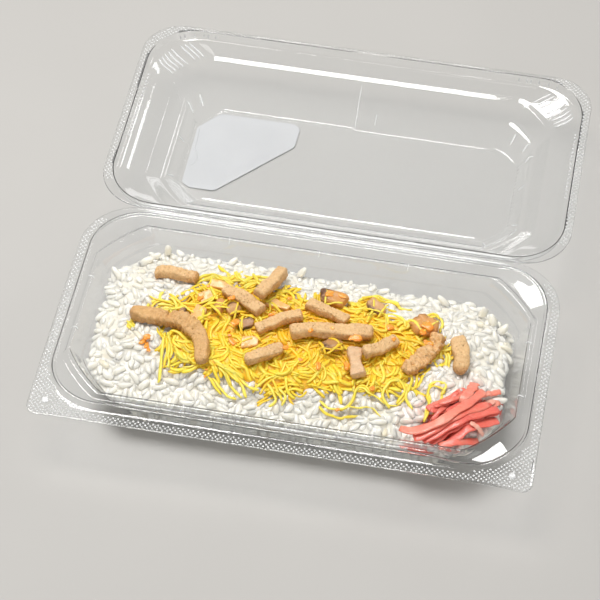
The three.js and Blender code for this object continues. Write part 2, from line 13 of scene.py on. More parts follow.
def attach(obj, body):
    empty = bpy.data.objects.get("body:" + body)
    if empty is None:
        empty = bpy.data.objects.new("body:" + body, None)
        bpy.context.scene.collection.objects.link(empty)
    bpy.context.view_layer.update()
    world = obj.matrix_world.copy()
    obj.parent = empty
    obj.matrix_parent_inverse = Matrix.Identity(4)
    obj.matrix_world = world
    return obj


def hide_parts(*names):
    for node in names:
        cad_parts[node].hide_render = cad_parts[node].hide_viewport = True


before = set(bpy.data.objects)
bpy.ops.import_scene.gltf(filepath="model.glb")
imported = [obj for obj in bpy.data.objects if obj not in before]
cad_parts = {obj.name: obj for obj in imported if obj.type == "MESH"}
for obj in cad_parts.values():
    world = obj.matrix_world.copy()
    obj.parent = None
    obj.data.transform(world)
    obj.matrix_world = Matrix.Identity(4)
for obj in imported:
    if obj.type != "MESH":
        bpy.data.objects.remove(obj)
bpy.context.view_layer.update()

MM = 0.001
BODY_TRAY = "tray"
BODY_LID = "lid"

# ---- the pack, as in the CAD source ----
HALF_LENGTH = 110.0
HALF_DEPTH = 61.5
LID_START = 61.8
LID_DEPTH = 119.4
FLANGE_TOP = 26.0
RIM_TOP = 29.7
WALL_TOP = RIM_TOP - 3.2
SHEET = 0.42
RING_GAP = 2.6
KNURL_RISE = 0.34
KNURL_PITCH = 2.2
SCALLOP_HEIGHTS = (0.9, 2.6)
SCALLOP_SIZE = 0.22
SCALLOP_PITCH = 2.4
FLANGE_FACE = FLANGE_TOP - 0.22
DROOP = (1.7, 0.5)
DROOP_REACH = 17
CORNER_BUTTONS = ((-102.6, -53.7), (100.9, -54.7))
OCTAGON = (19.5, 21.0)
RIM = {"half": 98.2, "front": -48.0, "back": 46.6}
WALL_HEAD = {"half": 96.4, "front": -47, "back": 45.6, "z": WALL_TOP}
WALL_FOOT = {"half": 81.5, "front": -39.8, "back": 38.2, "z": 2.6}
FOOT_CORNER = (16.0, 15.0)

# ---- the food ----
RICE_EDGE = 18.0
RICE_CROWN = 6.0
GRAIN = (7.3, 3.55, 2.9)
GRAIN_SIDES = 8
GRAIN_TRIES = 12480
BED_DROP = (-0.05, 0.3)
EGG_MIDDLE = (-4.0, -0.5)
EGG_REACH = (72.0, 33.0)
GINGER_MIDDLE = (72.5, -28.0)
GINGER_REACH = (26, 11)
GINGER_YAW = math.radians(40)
GINGER_TRIES = 408
SAUCE_SPOTS = ((-71.0, -12.0), (-52.0, -25.0))


# ---- numbers and noise ----
def smooth_step(value):
    t = np.clip(value, 0, 1)
    return t * t * (3 - 2 * t)


def lattice(ix, iy, iz, seed):
    mixed = (ix * 374761393 + iy * 668265263 + iz * 1442695041 + seed * 974634777) & 0xFFFFFFFF
    mixed = ((mixed ^ (mixed >> 13)) * 1274126177) & 0xFFFFFFFF
    return ((mixed ^ (mixed >> 16)) & 0xFFFF) / 65535.0


def noise(points, size, seed=0):
    """Smooth noise from -1 to 1, with lumps about size millimetres across."""
    scaled = np.asarray(points, float) / size
    cell = np.floor(scaled).astype(np.int64)
    part = scaled - cell
    part = part * part * (3 - 2 * part)
    total = np.zeros(len(scaled))
    for corner in np.ndindex(2, 2, 2):
        weight = np.ones(len(scaled))
        for axis in range(3):
            weight = weight * (part[:, axis] if corner[axis] else 1 - part[:, axis])
        total += weight * lattice(*(cell[:, axis] + corner[axis] for axis in range(3)), seed)
    return total * 2 - 1


def plan_noise(x, y, size, seed):
    """Noise over plan points, in the shape that they come in."""
    flat = np.column_stack([np.ravel(x), np.ravel(y), np.zeros(np.size(x))])
    return noise(flat, size, seed).reshape(np.shape(x))


def unit(vectors):
    return vectors / np.maximum(np.linalg.norm(vectors, axis=-1, keepdims=True), 1e-9)


# ---- meshes ----
def grid_faces(rows, columns):
    """Quads between neighbouring rings, each ring closed."""
    row, column = np.meshgrid(np.arange(rows - 1), np.arange(columns), indexing="ij")
    after = (column + 1) % columns
    low, high = row * columns, (row + 1) * columns
    quads = np.stack([low + column, low + after, high + after, high + column], -1)
    return quads.reshape(-1, 4)


def closed_tube(rings):
    """Points and faces of rings joined one to the next, shut by a fan at each end."""
    rows, columns = rings.shape[:2]
    first, last = rows * columns, rows * columns + 1
    points = np.concatenate([rings.reshape(-1, 3), rings[:1].mean(1), rings[-1:].mean(1)])
    here = np.arange(columns)
    after = (here + 1) % columns
    start = np.stack([np.full(columns, first), after, here], -1)
    end_row = (rows - 1) * columns
    end = np.stack([np.full(columns, last), end_row + here, end_row + after], -1)
    return points, grid_faces(rows, columns), np.concatenate([start, end])


class Bulk:
    """Many small meshes gathered into one piece. Each vertex has a tone, which its material reads."""

    def __init__(self):
        self.points = []
        self.tones = []
        self.faces = []
        self.count = 0

    def add(self, points, quads, triangles, tone=0.5):
        self.points.append(points)
        self.tones.append(np.broadcast_to(np.asarray(tone, float), (len(points),)))
        self.faces.extend((quads + self.count).tolist())
        self.faces.extend((triangles + self.count).tolist())
        self.count += len(points)

    def piece(self, name, material, **options):
        tones = np.concatenate(self.tones)
        piece(name, np.concatenate(self.points), self.faces, material, tones=tones, **options)


def piece(name, points, faces, material, body=BODY_TRAY, nodes=(), slot=None, tones=None, sharp=None):
    mesh = bpy.data.meshes.new(name)
    mesh.from_pydata((np.asarray(points) * MM).tolist(), [], faces)
    mesh.shade_smooth()
    if sharp is not None:
        mesh.set_sharp_from_angle(angle=math.radians(sharp))
    mesh.materials.append(material)
    if tones is not None:
        tone = mesh.attributes.new("tone", "FLOAT", "POINT")
        tone.data.foreach_set("value", np.asarray(tones, np.float32))
    made = bpy.data.objects.new(name, mesh)
    bpy.context.scene.collection.objects.link(made)
    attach(made, body)
    if nodes:
        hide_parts(*nodes)


def one_piece(name, shape, material, **options):
    """A piece made of a single closed shape."""
    points, quads, triangles = shape
    piece(name, points, quads.tolist() + triangles.tolist(), material, **options)


SECTIONS = {}


def section(sides, squareness):
    """The outline of a rounded bar's section, one unit wide and high, as evenly spread points."""
    if (sides, squareness) not in SECTIONS:
        angle = np.linspace(0, 2 * math.pi, 721)
        power = 2 / squareness
        across = np.sign(np.cos(angle)) * np.abs(np.cos(angle)) ** power
        above = np.sign(np.sin(angle)) * np.abs(np.sin(angle)) ** power
        outline = np.stack([across, above], -1) * 0.5
        run = np.concatenate([[0], np.cumsum(np.linalg.norm(np.diff(outline, axis=0), axis=1))])
        even = (np.arange(sides) + 0.5) / sides * run[-1]
        SECTIONS[sides, squareness] = np.stack([np.interp(even, run, outline[:, k]) for k in (0, 1)], -1)
    return SECTIONS[sides, squareness]


def swept(path, width, height, sides, ends, roll=0.0, squareness=2.4):
    """Rings of a bar's section along a path, smaller at its ends. Width, height and roll may vary."""
    path = np.asarray(path, float)
    count = len(path)
    forward = unit(np.gradient(path, axis=0))
    side = unit(np.cross([0, 0, 1], forward))
    lift = np.cross(forward, side)
    width, height, roll = (np.broadcast_to(value, (count,)) for value in (width, height, roll))
    blunt = np.ones(count)
    for step, share in enumerate(ends):
        blunt[step] = blunt[-1 - step] = share
    outline = section(sides, squareness)
    across = outline[None, :, 0] * (width * blunt)[:, None]
    above = outline[None, :, 1] * (height * blunt)[:, None]
    turned = across * np.cos(roll)[:, None] - above * np.sin(roll)[:, None]
    raised = across * np.sin(roll)[:, None] + above * np.cos(roll)[:, None]
    return path[:, None] + side[:, None] * turned[..., None] + lift[:, None] * raised[..., None]


def turned(points, yaw, pitch, roll):
    """Points rolled about X, pitched about Y and then yawed about Z, in radians."""
    matrix = np.eye(3)
    for angle, (a, b) in ((roll, (1, 2)), (pitch, (2, 0)), (yaw, (0, 1))):
        step = np.eye(3)
        step[a, a] = step[b, b] = math.cos(angle)
        step[b, a] = math.sin(angle)
        step[a, b] = -math.sin(angle)
        matrix = step @ matrix
    return points @ matrix.T


def resampled(points, count):
    """A smooth curve through plan or space points, as evenly spread points."""
    points = np.asarray(points, float)
    padded = np.concatenate([2 * points[:1] - points[1:2], points, 2 * points[-1:] - points[-2:-1]])
    fine = []
    for i in range(len(points) - 1):
        a, b, c, d = padded[i:i + 4]
        for t in np.linspace(0, 1, 24, endpoint=False):
            fine.append(0.5 * (2 * b + (c - a) * t + (2 * a - 5 * b + 4 * c - d) * t * t
                               + (3 * b - a - 3 * c + d) * t ** 3))
    fine.append(points[-1])
    fine = np.array(fine)
    run = np.concatenate([[0], np.cumsum(np.linalg.norm(np.diff(fine, axis=0), axis=1))])
    even = np.linspace(0, run[-1], count)
    return np.stack([np.interp(even, run, fine[:, axis]) for axis in range(fine.shape[1])], -1)


# ---- materials ----
class Look:
    """A material and short ways to add nodes to it."""

    def __init__(self, name, **settings):
        self.material = bpy.data.materials.new(name)
        self.material.use_nodes = True
        self.tree = self.material.node_tree
        self.shader = self.tree.nodes["Principled BSDF"]
        self.place = self.add("ShaderNodeTexCoord").outputs["Object"]
        for socket, value in settings.items():
            self.shader.inputs[socket.replace("_", " ")].default_value = value

    def add(self, kind, inputs=None, **settings):
        node = self.tree.nodes.new(kind)
        for name, value in settings.items():
            setattr(node, name, value)
        for name, value in (inputs or {}).items():
            self.feed(node.inputs[name], value)
        return node

    def feed(self, socket, value):
        if isinstance(value, bpy.types.NodeSocket):
            self.tree.links.new(value, socket)
        else:
            socket.default_value = value

    def noise(self, size_mm, detail, roughness=0.55, place=None):
        inputs = {"Vector": place or self.place, "Scale": 1 / (size_mm * MM), "Detail": detail,
                  "Roughness": roughness}
        return self.add("ShaderNodeTexNoise", inputs).outputs["Fac"]

    def cells(self, size_mm):
        inputs = {"Vector": self.place, "Scale": 1 / (size_mm * MM)}
        return self.add("ShaderNodeTexVoronoi", inputs).outputs["Distance"]

    def away(self, x, y, z):
        """Distance in metres from a point given in millimetres."""
        inputs = {0: self.place, 1: (x * MM, y * MM, z * MM)}
        return self.add("ShaderNodeVectorMath", inputs, operation="DISTANCE").outputs["Value"]

    def stretched(self, factors, yaw):
        inputs = {"Vector": self.place, "Rotation": (0, 0, yaw), "Scale": factors}
        return self.add("ShaderNodeMapping", inputs).outputs["Vector"]

    def hollow(self, reach_mm, low, high, share):
        """How deep a point lies between its neighbours, from none to the share given, as the mask for painted
        light and painted shade in hollows.
        """
        shade = self.add("ShaderNodeAmbientOcclusion", {"Distance": reach_mm * MM}, samples=4)
        return self.fit(shade.outputs["AO"], low, high, share, 0)

    def tone(self):
        return self.add("ShaderNodeAttribute", attribute_name="tone").outputs["Fac"]

    def ramp(self, value, *stops):
        node = self.add("ShaderNodeValToRGB", {"Fac": value})
        elements = node.color_ramp.elements
        while len(elements) < len(stops):
            elements.new(0.5)
        for element, (position, colour) in zip(elements, stops):
            element.position = position
            element.color = (*colour, 1) if len(colour) == 3 else colour
        return node.outputs["Color"]

    def fit(self, value, low, high, out_low=0.0, out_high=1.0):
        inputs = {"Value": value, "From Min": low, "From Max": high, "To Min": out_low, "To Max": out_high}
        return self.add("ShaderNodeMapRange", inputs).outputs["Result"]

    def math(self, operation, a, b):
        node = self.add("ShaderNodeMath", operation=operation)
        self.feed(node.inputs[0], a)
        self.feed(node.inputs[1], b)
        return node.outputs[0]

    def mix(self, share, a, b):
        node = self.add("ShaderNodeMix", data_type="RGBA")
        for index, value in ((0, share), (6, a), (7, b)):
            if isinstance(value, tuple) and len(value) == 3:
                value = (*value, 1)
            self.feed(node.inputs[index], value)
        return node.outputs[2]

    def bump(self, height, depth_mm, strength, after=None):
        inputs = {"Height": height, "Distance": depth_mm * MM, "Strength": strength}
        if after is not None:
            inputs["Normal"] = after
        return self.add("ShaderNodeBump", inputs).outputs["Normal"]

    def wear(self, **sockets):
        for name, value in sockets.items():
            self.feed(self.shader.inputs[name.replace("_", " ")], value)
        return self.material


def clear_sheet(name, frost=0.0, wave_mm=14.0, milky=0.0):
    """Clear thermoformed sheet: glass with faint waves, which shadow and diffuse rays pass through."""
    look = Look(name, Base_Color=(0.975, 0.982, 0.985, 1), Roughness=0.03 + frost, IOR=1.47,
                Transmission_Weight=1.0 - milky)
    waves = look.noise(wave_mm, detail=2.0)
    fine = look.noise(2.2, detail=1.0)
    look.wear(Roughness=look.fit(fine, 0.3, 0.7, 0.02 + frost, 0.06 + frost),
              Normal=look.bump(waves, 0.12, 0.3, after=look.bump(fine, 0.005, 0.2)))
    path = look.add("ShaderNodeLightPath")
    light = look.math("MAXIMUM", path.outputs["Is Shadow Ray"], path.outputs["Is Diffuse Ray"])
    open_share = look.math("MULTIPLY", light, 0.92)
    through = look.add("ShaderNodeBsdfTransparent", {"Color": (0.97, 0.975, 0.98, 1)})
    both = look.add("ShaderNodeMixShader", {"Fac": open_share})
    look.tree.links.new(look.shader.outputs[0], both.inputs[1])
    look.tree.links.new(through.outputs[0], both.inputs[2])
    look.tree.links.new(both.outputs[0], look.tree.nodes["Material Output"].inputs["Surface"])
    return look.material


def paper_look():
    look = Look("sticker_paper", Roughness=0.55)
    soft = look.noise(26, detail=4)
    fibre = look.noise(0.9, detail=3, place=look.stretched((1, 2.2, 1), 0.5))
    colour = look.ramp(soft, (0.3, (0.505, 0.51, 0.522)), (0.7, (0.565, 0.568, 0.578)))
    colour = look.mix(look.fit(fibre, 0.35, 0.7, 0, 0.2), colour, (0.46, 0.465, 0.485))
    return look.wear(Base_Color=colour, Normal=look.bump(fibre, 0.03, 0.5, after=look.bump(soft, 0.5, 0.4)))


def rice_look(name, deep=False):
    """Cooked rice: warm white and slightly clear, each grain a little different, pink beside the ginger."""
    look = Look(name, Subsurface_Weight=0.85, Subsurface_Radius=(1.0, 0.97, 0.92), Subsurface_Scale=0.0026,
                Coat_Weight=0.3, Coat_Roughness=0.12)
    tone = look.tone()
    cloud = look.noise(2.6, detail=4)
    colour = look.ramp(tone, (0.0, (0.76, 0.69, 0.52)), (0.35, (0.83, 0.795, 0.69)),
                       (1.0, (0.87, 0.845, 0.76)))
    colour = look.mix(look.fit(cloud, 0.4, 0.75, 0, 0.35), colour, (0.89, 0.87, 0.8))
    near = look.fit(look.away(*GINGER_MIDDLE, 22), 0.013, 0.027, 1, 0)
    stain = look.math("MULTIPLY", near, look.fit(look.noise(7, detail=2), 0.38, 0.62, 0.1, 0.85))
    colour = look.mix(stain, colour, (0.88, 0.52, 0.5))
    for x, y in SAUCE_SPOTS:
        colour = look.mix(look.fit(look.away(x, y, 23), 0.002, 0.008, 0.5, 0), colour, (0.82, 0.66, 0.4))
    # painted shade: the mass under the loose grains is a darker, warmer copy of the rice
    if deep:
        colour = look.mix(0.3, colour, (0.84, 0.79, 0.66))
    # painted light: hollows between grains are painted paler and warmer, standing in for light the rice
    # scatters into them
    colour = look.mix(look.hollow(2.2, 0.25, 0.9, 0.9), colour, (0.99, 0.95, 0.86))
    rough = look.fit(look.noise(0.8, detail=2), 0.3, 0.7, 0.22, 0.4)
    relief = look.bump(look.noise(0.9, detail=2), 0.04, 0.35, after=look.bump(cloud, 0.1, 0.35))
    if deep:
        relief = look.bump(look.cells(2.4), 0.5, 0.5, after=relief)
    return look.wear(Base_Color=colour, Roughness=rough, Normal=relief)


def egg_look(name, deep=False):
    """Fried egg shreds: lemon yellow with tiny pores, and painted shade that makes them more golden where
    they lie deep and in the hollows between them.
    """
    look = Look(name, Subsurface_Weight=0.6, Subsurface_Radius=(1.0, 0.85, 0.4), Subsurface_Scale=0.0009,
                Coat_Weight=0.12, Coat_Roughness=0.25)
    tone = look.tone()
    # the golden low tones are partly the egg's own colour and partly painted shade on shreds that lie deep
    colour = look.ramp(tone, (0.0, (0.95, 0.47, 0.012)), (0.35, (0.97, 0.63, 0.025)),
                       (0.7, (0.98, 0.76, 0.07)), (1.0, (0.985, 0.85, 0.21)))
    mottle = look.noise(1.7, detail=4, roughness=0.65)
    colour = look.mix(look.fit(mottle, 0.45, 0.75, 0, 0.35), colour, (0.97, 0.82, 0.22))
    shift = {"Vector": look.place, "Scale": (0.5, 1.5, 0.3), "Location": (-0.003, -0.0045, -0.0072)}
    centred = look.add("ShaderNodeMapping", shift).outputs["Vector"]
    away = look.add("ShaderNodeVectorMath", {"Vector": centred}, operation="LENGTH")
    near = look.fit(away.outputs["Value"], 0.012, 0.03, 0.6, 0)
    sauce = look.math("MULTIPLY", near, look.fit(look.noise(13, detail=2), 0.36, 0.62))
    colour = look.mix(sauce, colour, (0.93, 0.47, 0.01))
    # painted shade: the egg's mass under the shreds is a more golden copy
    if deep:
        colour = look.mix(0.45, colour, (0.94, 0.53, 0.012))
    # painted shade: hollows between shreds are painted deep golden orange
    colour = look.mix(look.hollow(1.6, 0.3, 0.9, 0.85), colour, (1.0, 0.58, 0.012))
    pores = look.noise(0.5, detail=3, roughness=0.7)
    relief = look.bump(pores, 0.07, 0.5, after=look.bump(mottle, 0.2, 0.5))
    return look.wear(Base_Color=colour, Roughness=look.fit(pores, 0.3, 0.7, 0.36, 0.58), Normal=relief)


def strip_look(name, top, side, under, gloss=0.5, pored=1.0):
    """A simmered strip: pores and blotches on a beige skin, browner where the tone is low, which is painted
    shade where it faces down and the browner colour of some ends; its pores get painted shade too.
    """
    look = Look(name, Subsurface_Weight=0.15, Subsurface_Radius=(1.0, 0.7, 0.45), Subsurface_Scale=0.0005,
                Coat_Weight=0.06, Coat_Roughness=0.35)
    tone = look.math("ADD", look.tone(), look.fit(look.noise(2.6, detail=3), 0.3, 0.7, -0.2, 0.2))
    # the tone runs from the lit top to the painted shade of the underside
    colour = look.ramp(tone, (0.0, under), (0.4, side), (0.85, top))
    blotch = look.noise(1.5, detail=5, roughness=0.65)
    colour = look.mix(look.fit(blotch, 0.5, 0.66, 0, 0.5), colour, side)
    pale = look.noise(0.9, detail=2, place=look.stretched((1, 1, 1), 0.4))
    colour = look.mix(look.fit(pale, 0.5, 0.66, 0, 0.6), colour, tuple(min(1, 1.16 * c + 0.03) for c in top))
    pits = look.cells(1.15)
    speck = look.noise(0.8, detail=2, roughness=0.7)
    pore = look.math("MULTIPLY", look.fit(pits, 0.08, 0.3, 1, 0), look.fit(speck, 0.42, 0.58))
    # painted shade: pits are darkened towards the underside colour
    colour = look.mix(look.math("MULTIPLY", pore, 0.6 * pored), colour, under)
    grain = look.noise(0.5, detail=4, roughness=0.7)
    rough = look.math("SUBTRACT", look.math("MULTIPLY", grain, 0.7), pore)
    relief = look.bump(rough, 0.45, 0.6 + 0.4 * pored, after=look.bump(blotch, 0.5, 0.7))
    return look.wear(Base_Color=colour, Roughness=look.fit(grain, 0.3, 0.7, gloss - 0.08, gloss + 0.12),
                     Normal=relief)


MUSHROOM_ROUGHNESS = (0.3, 0.5)


def mushroom_look(name, flesh, skin):
    """Simmered mushroom: tan flesh with gill-like streaks, near black skin where the tone is high."""
    look = Look(name, Subsurface_Weight=0.1, Subsurface_Radius=(1.0, 0.7, 0.5), Subsurface_Scale=0.0004,
                Coat_Weight=0.2, Coat_Roughness=0.22, Specular_IOR_Level=0.4)
    tone = look.math("ADD", look.tone(), look.fit(look.noise(2.0, detail=4), 0.3, 0.7, -0.24, 0.24))
    middle = tuple(0.5 * a + 0.5 * b for a, b in zip(flesh, skin))
    colour = look.ramp(tone, (0.22, flesh), (0.5, middle), (0.68, skin))
    streak = look.noise(0.7, detail=3, place=look.stretched((1, 4, 1), 0.6))
    colour = look.mix(look.fit(streak, 0.4, 0.7, 0, 0.4), colour, middle)
    relief = look.bump(streak, 0.25, 0.8, after=look.bump(look.noise(1.3, detail=4), 0.4, 0.7))
    return look.wear(Base_Color=colour, Roughness=look.fit(streak, 0.3, 0.7, *MUSHROOM_ROUGHNESS),
                     Normal=relief)


def moist_look(name, pale, deep, clear, size=3.0):
    """A moist, slightly clear piece whose colour drifts between two tones."""
    look = Look(name, Subsurface_Weight=clear, Subsurface_Radius=(1.0, 0.8, 0.6), Subsurface_Scale=0.0007,
                Coat_Weight=0.08, Coat_Roughness=0.25)
    drift = look.math("ADD", look.noise(size, detail=4), look.math("MULTIPLY", look.tone(), 0.5))
    colour = look.ramp(drift, (0.5, deep), (0.95, pale))
    fibre = look.noise(0.5, detail=3, place=look.stretched((0.45, 2.2, 1), -GINGER_YAW))
    colour = look.mix(look.fit(fibre, 0.45, 0.72, 0, 0.3), colour, pale)
    return look.wear(Base_Color=colour, Roughness=look.fit(fibre, 0.3, 0.7, 0.2, 0.38),
                     Normal=look.bump(fibre, 0.1, 0.5, after=look.bump(drift, 0.25, 0.4)))


def floor_look():
    look = Look("floor", Roughness=0.62)
    soft = look.noise(160, detail=2)
    fine = look.noise(1.5, detail=3)
    colour = look.ramp(soft, (0.3, (0.45, 0.441, 0.427)), (0.7, (0.468, 0.459, 0.444)))
    return look.wear(Base_Color=colour, Normal=look.bump(fine, 0.03, 0.15))


# ---- the pack's sheet ----
CORNER_POINTS = 16
LONG_POINTS = 84
SHORT_POINTS = 96


def level(half, front, back, z, corner, back_corner=None, bend=2.0, fillet=0.7):
    pair = (corner, corner) if np.isscalar(corner) else corner
    other = pair if back_corner is None else (back_corner, back_corner)
    return {"half": half, "front": front, "back": back, "z": z, "corners": (other, other, pair, pair),
            "bend": bend, "fillet": fillet}


def ring(shape):
    """A level's outline from its right end round by the back, with as many points on every level."""
    half, front, back = shape["half"], shape["front"], shape["back"]
    spots = ((half, back), (-half, back), (-half, front), (half, front))
    angle = np.linspace(0, math.pi / 2, CORNER_POINTS)
    power = 2 / shape["bend"]
    corners = []
    for turn, ((x, y), (size_x, size_y)) in enumerate(zip(spots, shape["corners"])):
        across, along = np.cos(angle + turn * math.pi / 2), np.sin(angle + turn * math.pi / 2)
        across = np.sign(across) * np.abs(across) ** power
        along = np.sign(along) * np.abs(along) ** power
        centre = (x - math.copysign(size_x, x), y - (size_y if turn < 2 else -size_y))
        corners.append(np.stack([centre[0] + size_x * across, centre[1] + size_y * along], -1))
    parts = []
    for turn, corner in enumerate(corners):
        following = corners[(turn + 1) % 4]
        count = SHORT_POINTS if turn % 2 else LONG_POINTS
        share = np.linspace(0, 1, count + 2)[1:-1, None]
        parts += [corner, corner[-1] * (1 - share) + following[0] * share]
    outline = np.concatenate(parts)
    return np.column_stack([outline, np.full(len(outline), float(shape["z"]))])


def rounded(levels):
    """Rings through the levels with each level's edge rounded off and wide gaps filled in."""
    rings = [ring(shape) for shape in levels]
    chain = [rings[0]]
    for i in range(1, len(rings) - 1):
        before, here, after = rings[i - 1:i + 2]
        sides = []
        for other in (before, after):
            length = np.linalg.norm(other - here, axis=1, keepdims=True)
            share = np.minimum(0.46, levels[i]["fillet"] / np.maximum(length, 1e-6))
            sides.append(here + (other - here) * share)
        for t in (0, 0.33, 0.67, 1):
            chain.append((1 - t) ** 2 * sides[0] + 2 * t * (1 - t) * here + t * t * sides[1])
    chain.append(rings[-1])
    filled = [chain[0]]
    for before, after in zip(chain, chain[1:]):
        gap = np.linalg.norm(after - before, axis=1).mean()
        steps = max(1, math.ceil(gap / RING_GAP))
        filled += [before + (after - before) * step / steps for step in range(1, steps + 1)]
    return np.array(filled)


def sheet_normals(grid):
    around = np.roll(grid, -1, 1) - np.roll(grid, 1, 1)
    inward = np.gradient(grid, axis=0)
    normals = unit(np.cross(around, inward))
    return normals if normals[0, :, 2].mean() > 0 else -normals


def sheet_mesh(grid):
    """A closed sheet under a grid of rings that runs from its outer edge in to its flat middle."""
    below = grid - sheet_normals(grid) * SHEET
    return closed_tube(np.concatenate([below[::-1], grid]))


def tray_levels():
    octagon = {"corner": OCTAGON, "bend": 1.18}
    foot = {"corner": FOOT_CORNER, "bend": 1.3}
    wall = []
    for share, inset in ((0.16, 0.0), (0.19, 0.35), (0.44, 0.35), (0.47, 0.7)):
        half, front, back, z = (head + (WALL_FOOT[key] - head) * share for key, head in WALL_HEAD.items())
        corner = tuple(a + (b - a) * share for a, b in zip(OCTAGON, FOOT_CORNER))
        wall.append(level(half - inset, front + inset, back - inset, z, corner, bend=1.22, fillet=0.35))
    return [
        level(HALF_LENGTH, -HALF_DEPTH, HALF_DEPTH, FLANGE_FACE, 5, 26),
        level(HALF_LENGTH - 0.5, -HALF_DEPTH + 0.5, HALF_DEPTH - 0.5, FLANGE_FACE + 0.12, 4.6, 25.6,
              fillet=0.2),
        level(HALF_LENGTH - 1.2, -HALF_DEPTH + 1.2, HALF_DEPTH - 1.2, FLANGE_FACE, 4.2, 25.2, fillet=0.2),
        level(105.2, -54.9, 57.4, FLANGE_FACE, 24, fillet=0.5),
        level(104.5, -54.2, 56.7, FLANGE_TOP + 2.9, 23.3, fillet=0.6),
        level(103.4, -53.1, 55.6, FLANGE_TOP + 2.9, 22.4, fillet=0.4),
        level(102.9, -52.6, 54.9, FLANGE_TOP + 2.35, 22, fillet=0.35),
        level(101.0, -50.8, 49.4, FLANGE_TOP + 2.3, fillet=0.5, **octagon),
        level(99.6, -49.4, 48, RIM_TOP, fillet=0.55, **octagon),
        level(98.2, -48, 46.6, RIM_TOP, fillet=0.55, **octagon),
        level(**WALL_HEAD, fillet=0.8, **octagon),
        *wall,
        level(**WALL_FOOT, fillet=1.6, **foot),
        level(79.6, -38.2, 36.6, 0.5, fillet=1.2, **foot),
        level(74, -33, 32, 0.5, corner=(14, 13), bend=1.3),
    ]


def lid_levels():
    def at(inset, near, far, depth, corner, bend=2.0, fillet=0.7, far_corner=None):
        return level(HALF_LENGTH - inset, LID_START + near, LID_START + LID_DEPTH - far, FLANGE_TOP - depth,
                     corner, far_corner, bend, fillet)
    face = FLANGE_TOP - FLANGE_FACE
    return [
        at(0, 0, 0, face, 22, far_corner=19),
        at(0.5, 0.5, 0.4, face - 0.12, 21.8, fillet=0.2, far_corner=18.8),
        at(1.2, 1.2, 0.9, face, 21.8, fillet=0.2, far_corner=19.2),
        at(3.8, 3.3, 1.9, face, 23, fillet=0.5),
        at(4.4, 3.8, 2.4, 4.6, 22.6, fillet=0.8),
        at(6, 5.4, 3.8, 5.1, 22, fillet=0.8),
        at(9.2, 6.8, 5.4, 7.6, (22.6, 21.8), 1.7, fillet=1.2),
        at(15.6, 8.6, 7.4, 10.6, (18, 19.5), 1.25, fillet=0.3),
        at(17.4, 10.6, 9.8, 11.3, (16.6, 18.6), 1.2, fillet=0.3),
        at(23.6, 18.2, 18.2, 16.7, (14.5, 15), 1.2, fillet=0.7),
        at(25.4, 20.4, 19.0, 17.3, (14, 14.4), 1.2, fillet=0.7),
        at(30.4, 28.6, 28.2, 23.8, (12, 11), 1.2, fillet=0.6),
        at(31.4, 29.8, 29.4, 24.6, (11.6, 10.6), 1.2, fillet=0.6),
        at(33.2, 31.6, 31.2, 24.2, (11, 10), 1.2, fillet=0.5),
        at(36, 34.4, 34, 24.2, (10.2, 9.2), 1.2),
    ]


FOLD_X = -2.6
FOLD_STEP = 1.5
FOLD_REACH = 7.0


def with_fold(grid):
    """The far wall of the lid steps in by a fold at its middle, over its lower half."""
    far = smooth_step((grid[..., 1] - 140) / 6)
    low = smooth_step((13.5 - grid[..., 2]) / 2)
    moved = grid.copy()
    beside = moved[..., 0] - FOLD_X
    pulled = beside * np.clip(np.abs(beside) / FOLD_REACH, 0.12, 1)
    moved[..., 0] += (pulled - beside) * far
    side = smooth_step((moved[..., 0] - FOLD_X) / 0.5 + 0.5)
    ends = smooth_step((72 - moved[..., 0]) / 8)
    moved[..., 1] -= FOLD_STEP * far * low * side * ends
    return moved


def with_scallops(grid):
    """A fine wave along the lid's two ends just above its foot, as a knurled mould leaves it."""
    low, high = SCALLOP_HEIGHTS
    moved = grid.copy()
    inside = smooth_step((grid[..., 2] - low) / 0.6) * smooth_step((high - grid[..., 2]) / 0.6)
    straight = smooth_step((28 - np.abs(grid[..., 1] - (LID_START + LID_DEPTH / 2))) / 4)
    end = smooth_step((np.abs(grid[..., 0]) - 60) / 5)
    wave = np.sin(grid[..., 1] * 2 * math.pi / SCALLOP_PITCH)
    moved[..., 0] += wave * SCALLOP_SIZE * inside * straight * end
    return moved


def with_droop(grid):
    """The two free corners of the tray's flange hang a little."""
    away = np.hypot(np.abs(grid[..., 0]) - HALF_LENGTH, grid[..., 1] + HALF_DEPTH)
    drop = np.where(grid[..., 0] > 0, *DROOP)
    flange = smooth_step((np.abs(grid[..., 2] - FLANGE_TOP) < 0.3) * 1.0)
    moved = grid.copy()
    moved[..., 2] -= drop * smooth_step((DROOP_REACH - away) / DROOP_REACH) * flange
    return moved


def with_tilted_webs(grid):
    """The flat web inside each right corner of the rim slopes a little, down towards the front and left."""
    x, y, z = grid[..., 0], grid[..., 1], grid[..., 2]
    moved = grid.copy()
    for middle_x, middle_y, long in ((92.5, 42.0, 1.0), (86.5, -45.5, 1.35)):
        near = smooth_step((17 - np.hypot((x - middle_x) / long, y - middle_y)) / 7)
        web = smooth_step((z - 27.4) / 0.6) * smooth_step((29.25 - z) / 0.3)
        tilt = 0.1 * (x - middle_x) + 0.18 * (y - middle_y) - 0.5
        moved[..., 2] += np.clip(tilt, -1.7, 0.9) * near * web
    return moved


# ---- fine relief on the sheet ----
def dome(centre, radius, height, sides):
    angle = np.arange(sides) / sides * 2 * math.pi
    circle = np.stack([np.cos(angle), np.sin(angle), np.zeros(sides)], -1)
    rings = [circle * (radius * share) + [0, 0, rise] for share, rise in
             ((0.9, -0.12), (1, 0.0), (0.72, height * 0.72), (0.3, height * 0.98))]
    return closed_tube(np.array(rings) + np.asarray(centre))


